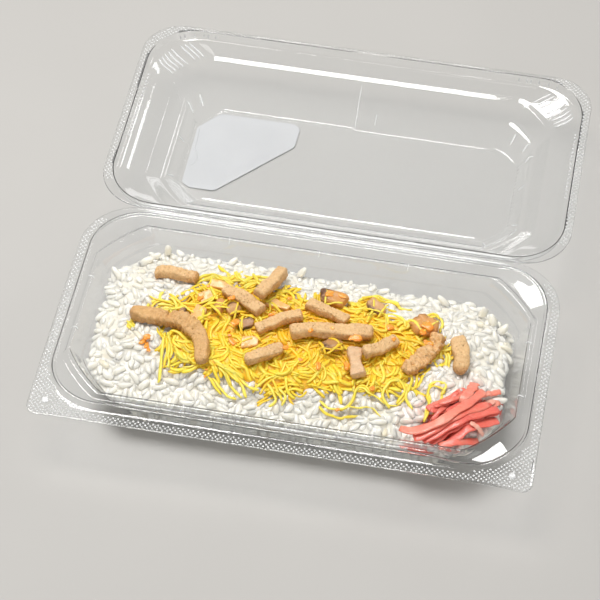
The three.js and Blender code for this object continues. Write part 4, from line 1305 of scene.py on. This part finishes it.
def lay_shreds(pile, bulk, random):
    """Small clumps of nearly parallel shreds, kept where they stay under the wanted top."""
    placed = 0
    for _ in range(EGG_STRANDS * 4):
        start = np.array([random.uniform(-78, 70), random.uniform(-37, 35)])
        heading = 7 * float(plan_noise(*start, 22, 43)) + random.normal(0, 0.7)
        plan = wander(random, start, heading, random.uniform(8, 24), 0.19)
        # painted shade: shreds laid early end up deep under later ones, so their tone is lowered towards
        # golden
        tone = egg_tone(*start) + random.normal(0, 0.12) - 0.3 * (1 - placed / EGG_STRANDS)
        for _ in range(random.integers(1, 6)):
            cover = egg_shown(plan[:, 0], plan[:, 1])
            if cover[len(cover) // 2] < 0.05 or cover.min() < -0.1:
                break
            if lay_strand(pile, bulk, plan, random.uniform(1.1, 1.95), random.uniform(0.5, 0.8),
                          np.clip(tone, 0, 1), random, sink=0.36, top=egg_full):
                placed += 1
            aside = random.normal(0, 1.4, 2)
            plan = plan + aside + np.cumsum(random.normal(0, 0.06, plan.shape), axis=0)


def uneven_shift(plan, size):
    """A small smooth push of each plan point, so that a strand isn't too even."""
    return np.stack([plan_noise(*plan.T, size, seed) for seed in (45, 46)], -1)


def build_egg(pile, random):
    """The egg's mass and its shreds, which come back unfinished: a few more lie over the toppings."""
    deep = egg_bed_top(pile.x, pile.y)
    pile.height = np.maximum(pile.height, np.where(egg_cover(pile.x, pile.y) > 0.2, deep, 0))
    bulk = Bulk()
    lay_shreds(pile, bulk, random)
    for loop in EGG_LOOPS:
        length = np.linalg.norm(np.diff(np.array(loop, float), axis=0), axis=1).sum()
        plan = resampled(loop, int(length))
        plan = plan + 0.6 * uneven_shift(plan, 3.5)
        lay_strand(pile, bulk, plan, 1.45, 0.7, 0.8, random, slope=0.35)
        beside = plan[:len(plan) * 2 // 3] + random.normal(0, 1.1, 2)
        lay_strand(pile, bulk, beside + 0.7 * uneven_shift(beside, 5), 1.3, 0.6, 0.6, random, slope=0.35)
    bed = pile.softened(times=2) - 0.5
    shape = egg_bed_mesh(pile, bed)
    # painted shade: the mass under the shreds takes a lower, more golden tone
    tones = np.array([egg_tone(x, y) - 0.45 for x, y in shape[0][:, :2]])
    one_piece("egg_bed", shape, egg_look("egg_deep_shaded", deep=True), slot="egg", tones=np.clip(tones, 0, 1))
    return bulk


def lay_over(pile, bulk, random):
    """Shreds that lie over the corners of the bamboo and mushroom pieces."""
    for _, (x, y), *_ in SLABS + CHUNKS:
        for _ in range(4):
            turn = random.uniform(0, 2 * math.pi)
            start = np.array([x + 6 * math.cos(turn), y + 6 * math.sin(turn)])
            heading = turn + math.pi + random.choice([-1, 1]) * random.uniform(0.5, 0.85)
            plan = wander(random, start, heading, random.uniform(7, 12), 0.12)
            if egg_cover(plan[:, 0], plan[:, 1]).min() > 0.02:
                lay_strand(pile, bulk, plan, random.uniform(1.0, 1.5), 0.55, egg_tone(x, y), random,
                           slope=0.7)


# ---- solid toppings ----
def rest_height(pile, points, sink):
    """How far to lift a shape so that its underside rests on the pile."""
    under = {}
    i, j = pile.cell(points[:, 0], points[:, 1])
    for a, b, z in zip(i.tolist(), j.tolist(), points[:, 2].tolist()):
        under[a, b] = min(z, under.get((a, b), 1e9))
    gaps = np.array([pile.height[key] - z for key, z in under.items()])
    return float(np.quantile(gaps, 0.9)) - sink


def laid(pile, points, place, yaw, pitch, roll, sink):
    """A topping's points turned, moved over its plan point and lowered onto the pile."""
    points = turned(points, yaw, pitch, roll) + [*place, 0]
    points[:, 2] += rest_height(pile, points, sink)
    return points


def cover_with(pile, points):
    """Raises the pile to a topping's points and a little around them."""
    i, j = pile.cell(points[:, 0], points[:, 1])
    for di in (-1, 0, 1):
        for dj in (-1, 0, 1):
            near = np.clip(i + di, 0, pile.SIZE[0] - 1), np.clip(j + dj, 0, pile.SIZE[1] - 1)
            np.maximum.at(pile.height, near, points[:, 2] - 0.15 * (abs(di) + abs(dj)))


def with_cuts(points, seed, count, depth):
    """A lump's points after flat faces are cut on it, each taking off what lies past a share of its reach."""
    random = np.random.default_rng(seed)
    cut = points.copy()
    for normal in unit(random.normal(size=(count, 3))):
        along = cut @ normal
        cut -= np.maximum(along - along.max() * depth, 0)[:, None] * normal
    return cut


def chunk_mesh(size, squareness, seed, rough, rows=26, columns=40, ridges=0.0, cuts=8):
    """An uneven lump along X with cut faces, and optional gill-like ridges over its top."""
    length, width, height = size
    polar = np.linspace(0.04, math.pi - 0.04, rows)
    power = 2 / squareness
    rings = []
    for angle in polar:
        along = -math.copysign(abs(math.cos(angle)) ** power, math.cos(angle))
        outline = section(columns, squareness) * math.sin(angle) ** power
        rings.append(np.column_stack([np.full(columns, along * length / 2), outline[:, 0] * width,
                                      outline[:, 1] * height]))
    flat = with_cuts(np.array(rings).reshape(-1, 3), seed, cuts, 0.84)
    outward = unit(flat * [1 / length, 1 / width, 1 / height])
    mean = (length + width + height) / 3
    swell = noise(flat, mean * 0.5, seed) + 0.5 * noise(flat, mean * 0.22, seed + 7)
    flat += outward * (rough * mean * (swell + 0.25 * noise(flat, mean * 0.1, seed + 9)))[:, None]
    if ridges:
        flat[:, 2] += ridges * np.sin(flat[:, 1] * 2 * math.pi / 1.1) * (flat[:, 2] > 0)
    return flat.reshape(rows, columns, 3)


SLAB_SKEW = 0.15
SLAB_ROUGHNESS = 0.28


def slab_mesh(size, seed, taper):
    """A cut slab along X with flat faces, softened edges and one end narrower than the other."""
    length, width, height = size
    stations = np.concatenate([[-1, -0.965, -0.9], np.linspace(-0.8, 0.8, 13), [0.9, 0.965, 1]])
    shrink = np.interp(np.abs(stations), [0, 0.9, 0.965, 1], [1, 0.985, 0.93, 0.76])
    outline = section(36, 4.4)
    rings = []
    for t, size_here in zip(stations, shrink):
        wide = width * (1 + (taper - 1) * (t + 1) / 2)
        y = outline[:, 0] * wide * (size_here + 1) / 2
        z = outline[:, 1] * height * size_here
        rings.append(np.column_stack([t * length / 2 + SLAB_SKEW * y, y, z + 0.02 * y * y - 0.25]))
    grid = np.array(rings)
    flat = grid.reshape(-1, 3)
    outward = unit(flat * [1 / length, 1 / width, 1 / height])
    flat += outward * (SLAB_ROUGHNESS * (noise(flat, 3, seed) + 0.6 * noise(flat, 1.2, seed + 7)))[:, None]
    return grid


STRIP_STEPS = 90
STRIP_SIDES = 48
STRIP_SQUARENESS = 4.6


def strip_grid(path, width, height, seed, rough, swell, cut, rounding):
    """A soft bar along a space path, with cut or rounded ends, wrinkles and dents."""
    path = resampled(path, STRIP_STEPS)
    share = np.linspace(0, 1, STRIP_STEPS)
    length = np.linalg.norm(np.diff(path, axis=0), axis=1).sum()
    blunt = np.ones(STRIP_STEPS)
    for near, reach in ((share, rounding[0]), (1 - share, rounding[1])):
        left = 1 - np.clip(near * length / reach, 0, 1)
        blunt = blunt * np.maximum(1 - left ** 2.4, 0.05) ** (1 / 2.4)
    drift = noise(np.column_stack([share * 5, share * 0, share * 0 + seed]), 1.0, seed)
    wide = width * (1 + 0.1 * drift) * np.interp(share, np.linspace(0, 1, len(swell)), swell) * blunt
    roll = 0.3 * np.sin(share * 3 + seed)
    rings = swept(path, wide, height * (1 - 0.07 * drift) * blunt, STRIP_SIDES, (), roll, STRIP_SQUARENESS)
    forward = unit(np.gradient(path, axis=0))
    offset = rings - path[:, None]
    sheared = (offset @ np.array([0.6, 0.5, 0.6 * (-1) ** seed]))[..., None] * forward[:, None]
    near_end = np.exp(-np.minimum(share, 1 - share) * 14)[:, None, None]
    rings = rings + sheared * near_end * cut
    flat = rings.reshape(-1, 3)
    outward = unit(flat - np.repeat(path, STRIP_SIDES, axis=0))
    bumps = 0.55 * noise(flat, 4.6, seed) + 0.38 * noise(flat, 2.1, seed + 3)
    bumps = bumps + 0.26 * noise(flat, 1.1, seed + 5)
    crumbs = 0.22 * noise(flat, 0.6, seed + 6)
    pits = np.maximum(0, noise(flat, 0.8, seed + 8) - 0.3)
    uneven = np.repeat(np.interp(share, np.linspace(0, 1, len(rough)), rough), STRIP_SIDES)
    folds = np.sin(np.repeat(share * length, STRIP_SIDES) * 2.3 + 3 * noise(flat, 3.4, seed + 11))
    folds = folds * np.clip(uneven - 1.1, 0, 0.8)
    flat = flat + outward * ((bumps + crumbs - 0.5 * pits) * uneven * 0.62 + 0.4 * folds)[:, None]
    return flat.reshape(rings.shape), path


def strip_tones(rings, path, brown_start=0.0, brown_end=0.0):
    """Painted light: pale on top and painted shade below, with ends that may be browner."""
    steps, sides = rings.shape[:2]
    above = (rings[..., 2] - path[:, None, 2]) / np.ptp(rings[..., 2] - path[:, None, 2])
    share = np.linspace(0, 1, steps)[:, None]
    # painted shade: the tone falls with height from the top to the underside
    tone = 0.6 + 1.0 * above
    tone -= brown_start * smooth_step((0.3 - share) / 0.3) + brown_end * smooth_step((share - 0.7) / 0.3)
    tone += 0.15 * np.exp(-np.minimum(share, 1 - share) * 22)
    flat = np.clip(tone, 0, 1).ravel()
    return np.concatenate([flat, [flat[:sides].mean(), flat[-sides:].mean()]])


STRIPS = (
    # name, width, height, plan points, how much browner the two ends are
    ("strip_01", 5.4, 4.2, ((-72, 24.4), (-62, 24.6), (-51.8, 23.6)), 0.15, 0.5),
    ("strip_02", 6.9, 5.2, ((-77, -2.2), (-68, -2.6), (-59, -3.4)), 0.35, 0.3),
    ("strip_03", 6.2, 4.8, ((-63.5, -4.6), (-54.6, -3.4), (-46, -7.6), (-41.6, -15.2), (-40, -24.6)), 0.3,
     0.05),
    ("strip_04", 5.6, 4.6, ((-38.6, 18.4), (-29, 14.6), (-19.6, 9.2)), 0.0, 0.1),
    ("strip_05", 5.6, 4.8, ((-15, 36), (-18, 25.6), (-22.6, 14.4)), 0.0, 0.15),
    ("strip_06", 5.2, 4.2, ((-20.4, -0.6), (-11, 6.2), (-1.6, 10.4)), 0.0, 0.0),
    ("strip_08", 5.6, 4.4, ((-0.8, 17.4), (8.6, 14.6), (18.4, 11)), 0.05, 0.0),
    ("strip_09", 6.8, 5.2, ((-5, -1.2), (4, 2.4), (18, 4.4), (31, 5.6)), 0.0, 0.3),
    ("strip_07", 5.4, 4.6, ((-21.6, -19.6), (-14, -14.8), (-6.6, -9)), 0.15, 0.1),
    ("strip_10", 5.6, 4.6, ((28.8, -7.4), (35.4, -1.8), (42, 4.8)), 0.0, 0.1),
    ("strip_11", 6.8, 4.8, ((47.4, -12.2), (53.4, -4.2), (57.8, 3.2), (59.8, 11)), 0.0, 0.3),
    ("strip_12", 7.0, 5.2, ((67.8, 11.0), (70.6, 3), (71.6, -7.6)), 0.0, 0.5),
)
ROUNDING = {
    # how far the two ends are rounded, where they aren't simply cut
    "strip_01": (1.6, 1.2), "strip_02": (3.4, 1.5), "strip_03": (1.5, 2.6), "strip_05": (1.3, 1.3),
    "strip_07": (2.4, 2.8), "strip_09": (1.2, 2.6), "strip_10": (0.9, 1.8), "strip_11": (3.6, 1.2),
    "strip_12": (1.6, 3.4),
}
ROUGHNESS = {
    # how wrinkled a strip is along its length, where it isn't evenly so
    "strip_02": (0.9, 0.8, 1.2, 1.9), "strip_03": (1.8, 2.2, 1.9, 1.0, 0.8, 1.0), "strip_11": (2.0, 2.4, 2.2),
    "strip_01": (1.5, 1.2, 1.4),
}
SWELL = {
    # the width along a strip, where it isn't nearly even
    "strip_02": (0.98, 1.14, 1.0, 0.76), "strip_03": (0.86, 1.22, 1.34, 1.12, 1.0, 0.8),
    "strip_09": (1.0, 0.94, 0.98, 1.06), "strip_11": (0.86, 1.14, 0.98, 0.78),
    "strip_12": (0.96, 1.06, 0.98, 0.76),
}


def build_strips(pile):
    # each look's three colours run from the lit top through the side to the painted shade of the underside
    beige = strip_look("strip", (0.77, 0.5, 0.24), (0.61, 0.325, 0.115), (0.33, 0.14, 0.035))
    skinned = strip_look("strip_skinned", (0.68, 0.4, 0.155), (0.53, 0.26, 0.08), (0.28, 0.11, 0.028),
                         gloss=0.34, pored=0.8)
    wrinkled = strip_look("strip_wrinkled", (0.8, 0.5, 0.23), (0.67, 0.31, 0.07), (0.36, 0.14, 0.03),
                          gloss=0.3)
    looks = {"strip_11": wrinkled, "strip_02": skinned, "strip_03": skinned}
    for index, (name, width, height, plan, brown_start, brown_end) in enumerate(STRIPS):
        line = resampled(plan, 24)
        under = pile.around(line[:, 0], line[:, 1], width * 0.3)
        z = drape(under + height / 2 - 0.45, 0.3)
        z = np.convolve(np.pad(z, 2, mode="edge"), np.ones(5) / 5, mode="valid")
        rings, path = strip_grid(np.column_stack([line, z]), width, height, 60 + index,
                                 rough=ROUGHNESS.get(name, (1.0,)),
                                 swell=SWELL.get(name, (0.95, 1, 0.95)), cut=0.0 if name in ROUNDING else 0.3,
                                 rounding=ROUNDING.get(name, (0.9, 0.9)))
        shape = closed_tube(rings)
        one_piece(name + "_food", shape, looks.get(name, beige), nodes=[name], slot="strip",
                  tones=strip_tones(rings, path, brown_start, brown_end))
        if name == "strip_02":
            # strip_03 joins it in a Y, so neither may rest on the other
            beside = shape[0]
        elif name == "strip_03":
            cover_with(pile, np.concatenate([beside, shape[0]]))
        else:
            cover_with(pile, shape[0])


SLABS = (
    # name, plan point, size, yaw, tilt, taper
    ("bamboo_01", (-46, 14), (6.8, 5.8, 2.6), 38, 10, 0.9),
    ("bamboo_02", (-47.6, 3.2), (9.6, 6.4, 2.8), 78, -6, 0.86),
    ("bamboo_03", (-21.8, -7.4), (7.4, 6.2, 2.6), 14, 8, 0.8),
    ("bamboo_04", (-41.2, 22.4), (10.4, 4.6, 2.4), -8, 6, 0.85),
    ("bamboo_05", (-13.6, 16), (10.4, 5.6, 2.5), -14, -4, 0.5),
)
CHUNKS = (
    # name, plan point, size, yaw, tilt, look, skin direction, squareness, roughness
    ("mushroom_01", (-25.4, 2.4), (7.6, 5, 3.0), 30, 12, "dark", None, 4.2, 0.05),
    ("mushroom_02", (14, -3.2), (9.6, 7.8, 4.2), 10, -14, "tan", (-0.9, -0.5, -0.2), 2.6, 0.08),
    ("mushroom_04", (9.8, 24), (14, 6.8, 4.0), -8, 10, "brown", (-1.0, 0.1, 0.2), 4.0, 0.08),
    ("mushroom_05", (29.2, 22.4), (10, 6, 2.2), -24, 10, "pale", (-0.2, -0.9, 0.2), 4.0, 0.1),
    ("mushroom_06", (-54.8, 3.2), (6.6, 3, 2.4), 74, 6, "dark", (0.0, -1.0, 0.3), 3.6, 0.06),
    ("mushroom_07", (-32.8, 9), (6.8, 5.8, 3.4), 48, 12, "pale", (0.1, 1.0, -0.1), 3.8, 0.09),
    ("mushroom_08", (51.8, 16), (13.6, 9.6, 4.6), -32, 6, "orange", (-0.5, 0.6, -0.1), 2.8, 0.17),
    ("mushroom_09", (-39, 9.2), (8, 4.8, 3.2), 80, -10, "brown", (-0.5, 0.7, -0.1), 3.8, 0.09),
)


def build_slabs(pile):
    look = moist_look("bamboo", (0.85, 0.58, 0.27), (0.79, 0.45, 0.14), clear=0.7)
    for index, (name, place, size, yaw, tilt, taper) in enumerate(SLABS):
        points, quads, triangles = closed_tube(slab_mesh(size, 80 + index, taper))
        points = laid(pile, points, place, math.radians(yaw), 0, math.radians(tilt), 1.2)
        one_piece(name + "_food", (points, quads, triangles), look, nodes=[name], slot="bamboo",
                  tones=np.full(len(points), 0.4))
        cover_with(pile, points)


def build_chunks(pile):
    looks = {
        "dark": mushroom_look("mushroom_dark", (0.5, 0.27, 0.13), (0.025, 0.011, 0.008)),
        "tan": mushroom_look("mushroom_tan", (0.52, 0.27, 0.1), (0.05, 0.02, 0.01)),
        "pale": mushroom_look("mushroom_pale", (0.68, 0.39, 0.16), (0.13, 0.048, 0.018)),
        "brown": mushroom_look("mushroom_brown", (0.7, 0.33, 0.09), (0.1, 0.034, 0.013)),
        "orange": mushroom_look("mushroom_orange", (0.72, 0.35, 0.1), (0.3, 0.13, 0.04)),
    }
    for index, (name, place, size, yaw, tilt, look, skin, squareness, rough) in enumerate(CHUNKS):
        gills = 0.18 if name == "mushroom_01" else 0.0
        points, quads, triangles = closed_tube(chunk_mesh(size, squareness, 90 + index, rough, ridges=gills))
        spread = points * [2 / size[0], 2 / size[1], 2 / size[2]]
        if skin is None:
            facing = np.abs(spread[:, :2]).max(1) * 1.6 - 0.8
        else:
            facing = spread @ (np.array(skin) / np.linalg.norm(skin))
        tones = np.clip(0.14 + 0.62 * facing, 0, 1)
        points = laid(pile, points, place, math.radians(yaw), 0, math.radians(tilt), 0.9)
        one_piece(name + "_food", (points, quads, triangles), looks[look], nodes=[name], slot="mushroom",
                  tones=tones)
        cover_with(pile, points)


def build_stem(pile):
    """The thick pale stem, wider at its cut foot."""
    line = resampled(((24, -3.8), (26, -10.4), (28.6, -17.8)), 24)
    z = drape(pile.around(line[:, 0], line[:, 1], 1.8) + 1.9, 0.3)
    rings, path = strip_grid(np.column_stack([line, z]), 5.6, 4.2, 131, rough=(0.5,),
                             swell=(1.3, 1.14, 1.0, 0.96, 1.0, 1.1, 1.2), cut=0.1, rounding=(0.7, 0.7))
    shape = closed_tube(rings)
    # its under colour is painted shade, laid on by the strip tones
    look = strip_look("mushroom_stem", (0.74, 0.49, 0.28), (0.66, 0.41, 0.21), (0.38, 0.19, 0.09), gloss=0.38,
                      pored=0.15)
    one_piece("mushroom_03_food", shape, look, nodes=["mushroom_03"], slot="mushroom_stem",
              tones=strip_tones(rings, path))
    cover_with(pile, shape[0])


CARROTS = (
    # plan point, length, width, thickness, yaw in degrees
    (-68.5, -14.6, 5.0, 2.8, 0.9, 70), (-66.6, -13.4, 4.4, 3.0, 0.9, 20), (-66.2, -16.6, 4.8, 2.4, 0.9, 95),
    (-65.0, -19.0, 3.2, 1.8, 0.8, 110), (-37.4, -25.7, 1.6, 1.2, 0.8, 10), (-37.3, -28.6, 1.4, 1.1, 0.7, 60),
    (-46.0, 19.2, 2.2, 1.5, 0.8, 0), (-48.2, 11.6, 3.8, 2.4, 0.9, 60), (-34.0, 12.6, 3.8, 2.0, 0.9, 25),
    (-29.6, 1.0, 5.4, 3.6, 1.0, 70), (-31.6, -4.6, 2.2, 1.5, 0.8, 0), (-29.4, -8.2, 5.8, 3.0, 1.0, -45),
    (-9.2, 20.3, 2.8, 1.8, 0.8, 20), (4.2, -0.4, 2.8, 1.8, 0.8, 30), (13.0, 3.2, 2.2, 1.6, 0.7, -30),
    (1.9, -12.8, 2.8, 1.7, 0.8, 0), (10.2, -15.3, 4.8, 2.4, 0.9, 100), (22.6, -14.4, 5.2, 3.0, 1.0, 95),
    (22.3, -33.6, 2.3, 1.6, 0.9, 30), (-15.2, 7.8, 3.6, 2.0, 0.9, 30), (-5.0, -10.6, 3.2, 2.0, 0.9, 40),
    (24.2, 0.0, 7.0, 3.4, 1.0, 5), (8.0, 24.6, 5.4, 2.8, 0.8, 10), (13.4, 24.6, 4.2, 2.4, 0.8, -20),
    (40.6, 2.6, 2.4, 1.8, 0.8, 60), (37.2, 12.4, 3.8, 2.6, 0.9, 40), (35.6, -22.6, 3.2, 2.4, 1.0, 80),
    (53.6, 14.0, 6.4, 4.8, 0.8, -20), (52.4, 10.6, 4.4, 3.2, 0.8, 50), (55.6, 4.4, 5.8, 3.4, 0.8, 25),
)


def build_carrots(pile):
    bulk = Bulk()
    for index, (x, y, *size, yaw) in enumerate(CARROTS):
        shrunk = [0.92 * side for side in size]
        grid = chunk_mesh(shrunk, 3.4, 200 + index, 0.2, rows=14, columns=20, cuts=12)
        points, quads, triangles = closed_tube(grid)
        bulk.add(laid(pile, points, (x, y), math.radians(yaw), 0.1, 0.12, 0.55), quads, triangles, 0.5)
    look = moist_look("carrot", (0.93, 0.42, 0.07), (0.87, 0.27, 0.018), clear=0.75, size=2.0)
    bulk.piece("carrot_flecks", look)


# ---- ginger ----
GINGER_RIBBONS = (
    # width, tone, plan points
    (3.4, 0.65, ((51, -43.4), (57, -44.2), (63, -43.8))),
    (4.6, 0.15, ((64, -44), (70, -38), (77, -32), (84, -26))),
    (4.8, 0.3, ((71, -43.6), (78, -36), (85, -30), (91, -25.6))),
    (4.4, 0.25, ((61, -44.4), (67, -39.6), (75, -33), (84, -26), (90.4, -21.4))),
    (3.2, 0.55, ((68, -44.4), (75, -42.4), (80.6, -39.2), (84, -36.6))),
    (4.4, 0.8, ((74.6, -23), (76, -19), (77.8, -14.2), (78.6, -10.4))),
    (2.6, 0.7, ((82, -16), (86, -13), (90, -10.4))),
    (4.2, 0.45, ((57, -44.2), (62.4, -41.4), (69, -35), (78, -27), (86, -20.4))),
    (4.2, 0.7, ((50.4, -40.4), (56.4, -41.4), (65, -37.4), (71.6, -31), (78.4, -22), (83, -14.4))),
    (2.2, 1.0, ((79.6, -33), (83, -34.2), (86, -35.4))),
)


def ginger_full(x, y):
    return rice_core(x, y) + 1.8 + 3.2 * smooth_step(ginger_cover(x, y) * 2.4)


def ginger_bed_mesh():
    """The wet mass of ginger under the ribbons."""
    angle = np.arange(72) / 72 * 2 * math.pi
    rings = []
    for share in (0.1, 0.25, 0.4, 0.5, 0.6, 0.7, 0.78, 0.86, 0.93):
        along = np.cos(angle) * GINGER_REACH[0] * share
        across = np.sin(angle) * GINGER_REACH[1] * share
        plan = np.stack([GINGER_MIDDLE[0] + along * math.cos(GINGER_YAW) - across * math.sin(GINGER_YAW),
                         GINGER_MIDDLE[1] + along * math.sin(GINGER_YAW) + across * math.cos(GINGER_YAW)], -1)
        z = rice_core(plan[:, 0], plan[:, 1]) + 0.5 + 1.6 * smooth_step((0.95 - share) * 4)
        ridges = noise(np.column_stack([along / 9, across / 1.6, 0 * along]), 1.0, 52)
        lumps = noise(np.column_stack([plan, z]), 3, 51)
        rings.append(np.column_stack([plan, z + 0.5 * ridges + 0.3 * lumps]))
    return closed_on_rice(rings)


def build_ginger(pile, random):
    look = ginger_look()
    shape = ginger_bed_mesh()
    one_piece("ginger_bed", shape, look, slot="ginger", tones=np.full(len(shape[0]), 0.1))
    cover = ginger_cover(pile.x, pile.y)
    bed = rice_core(pile.x, pile.y) + 0.2 + 1.5 * smooth_step((cover - 0.1) * 4)
    pile.height = np.where(cover > 0.3, np.maximum(pile.height - 0.6, bed), pile.height)
    bulk = Bulk()
    way = np.array([math.cos(GINGER_YAW), math.sin(GINGER_YAW)])
    side = np.array([-way[1], way[0]])
    for _ in range(GINGER_TRIES):
        length = random.uniform(16, 34)
        start = np.array(GINGER_MIDDLE) + way * random.uniform(-22, 2) + side * random.normal(0, 4.6)
        plan = wander(random, start, GINGER_YAW + random.normal(0, 0.22), length, 0.02)
        if ginger_cover(*plan.T).min() < -0.12 or inside_basin(*plan.T).min() < 7:
            continue
        tone = np.clip(random.normal(0.35, 0.25), 0, 1)
        lay_strand(pile, bulk, plan, random.uniform(2.2, 3.8), random.uniform(0.7, 0.9), tone, random,
                   sink=0.5, slope=0.3, top=ginger_full, twist=0.4, sides=12, ends=(0.6, 0.9),
                   squareness=3.0)
    for width, tone, points in GINGER_RIBBONS:
        plan = resampled(points, 34)
        lay_strand(pile, bulk, plan, width, 0.9, tone, random, sink=0.35, slope=0.25, twist=0.3, sides=16,
                   ends=(0.7, 0.92), squareness=3.4)
    bulk.piece("ginger_shreds", look, nodes=["red_ginger"], slot="ginger")


def ginger_look():
    """Red pickled ginger: wet, half clear, from red to pale salmon shred by shred."""
    look = Look("ginger", Subsurface_Weight=0.75, Subsurface_Radius=(1.0, 0.8, 0.75), Subsurface_Scale=0.0009,
                Coat_Weight=0.35, Coat_Roughness=0.12)
    tone = look.tone()
    drift = look.math("ADD", tone, look.fit(look.noise(9, detail=3), 0.3, 0.7, -0.22, 0.22))
    colour = look.ramp(drift, (0.1, (0.74, 0.085, 0.06)), (0.45, (0.84, 0.165, 0.115)),
                       (0.8, (0.89, 0.28, 0.19)), (1.0, (0.91, 0.5, 0.39)))
    fibre = look.noise(0.45, detail=3, place=look.stretched((0.3, 2.4, 1), -GINGER_YAW))
    colour = look.mix(look.fit(fibre, 0.45, 0.7, 0, 0.45), colour, (0.93, 0.42, 0.33))
    return look.wear(Base_Color=colour, Roughness=look.fit(fibre, 0.3, 0.7, 0.24, 0.42),
                     Normal=look.bump(fibre, 0.22, 0.8))


# ---- the studio ----
CAMERA_AZIMUTH = math.radians(10.54)
CAMERA_ELEVATION = math.radians(51.15)
CAMERA_ROLL = math.radians(0.37)
CAMERA_DISTANCE = 1.16064
CAMERA_TARGET = Vector((-0.0179, 0.09159, -0.06282))
FOCAL_PIXELS = 2342.4
FRAME_PIXELS = 600
FLOOR_REACH = 3.0
FLOOR_HEIGHT = -2e-5


def build_camera():
    level_out = math.cos(CAMERA_ELEVATION)
    back = Vector((math.sin(CAMERA_AZIMUTH) * level_out, -math.cos(CAMERA_AZIMUTH) * level_out,
                   math.sin(CAMERA_ELEVATION)))
    data = bpy.data.cameras.new("camera")
    data.sensor_width = 36
    data.lens = FOCAL_PIXELS / FRAME_PIXELS * data.sensor_width
    data.clip_start, data.clip_end = 0.05, 20
    camera = bpy.data.objects.new("camera", data)
    camera.rotation_mode = "QUATERNION"
    camera.location = CAMERA_TARGET + back * CAMERA_DISTANCE
    camera.rotation_quaternion = Quaternion(back, CAMERA_ROLL) @ back.to_track_quat("Z", "Y")
    bpy.context.scene.collection.objects.link(camera)
    bpy.context.scene.camera = camera


def area_light(name, place, target, size, power, colour=(1, 1, 1)):
    """A softbox with level upper and lower edges. It shows in reflections, but not in the picture itself."""
    data = bpy.data.lights.new(name, "AREA")
    data.shape = "RECTANGLE"
    data.size, data.size_y = size
    data.energy = power
    data.color = colour
    lamp = bpy.data.objects.new(name, data)
    lamp.location = place
    away = (Vector(place) - Vector(target)).normalized()
    across = Vector((0, 1, 0)).cross(away).normalized()
    turn = Matrix((across, away.cross(across), away)).transposed()
    lamp.rotation_mode = "QUATERNION"
    lamp.rotation_quaternion = turn.to_quaternion()
    lamp.visible_camera = False
    bpy.context.scene.collection.objects.link(lamp)


def build_studio():
    mesh = bpy.data.meshes.new("floor")
    corners = ((-1, -1), (1, -1), (1, 1), (-1, 1))
    points = [(x * FLOOR_REACH, y * FLOOR_REACH, FLOOR_HEIGHT) for x, y in corners]
    mesh.from_pydata(points, [], [(0, 1, 2, 3)])
    mesh.materials.append(floor_look())
    floor = bpy.data.objects.new("floor", mesh)
    bpy.context.scene.collection.objects.link(floor)
    area_light("key", (-0.34, 0.34, 1.2), (0, 0.06, 0), (0.72, 0.42), 15.8, (1.0, 0.985, 0.96))
    area_light("fill", (0.5, -0.95, 0.8), (0, 0.06, 0), (1.2, 0.7), 4.7, (1.0, 0.99, 0.97))
    area_light("side", (0.95, 1.15, 0.95), (0, 0.1, 0), (0.3, 0.36), 2.2)
    area_light("back", (0.1, 1.9, 0.32), (0, 0.1, 0), (1.4, 0.34), 2.3)
    world = bpy.data.worlds.new("studio")
    world.use_nodes = True
    shade = world.node_tree.nodes["Background"]
    shade.inputs["Color"].default_value = (1.0, 0.985, 0.96, 1)
    shade.inputs["Strength"].default_value = 0.29
    bpy.context.scene.world = world
    bpy.context.scene.view_settings.view_transform = "Standard"


def build_food():
    random = np.random.default_rng(2611)
    pile = Pile()
    build_rice(pile, random)
    shreds = build_egg(pile, random)
    build_slabs(pile)
    build_chunks(pile)
    lay_over(pile, shreds, random)
    shreds.piece("egg_strands", egg_look("egg"), nodes=["egg_shreds"], slot="egg")
    build_stem(pile)
    build_strips(pile)
    build_carrots(pile)
    build_ginger(pile, random)


build_camera()
build_studio()
build_pack()
build_sticker()
build_food()
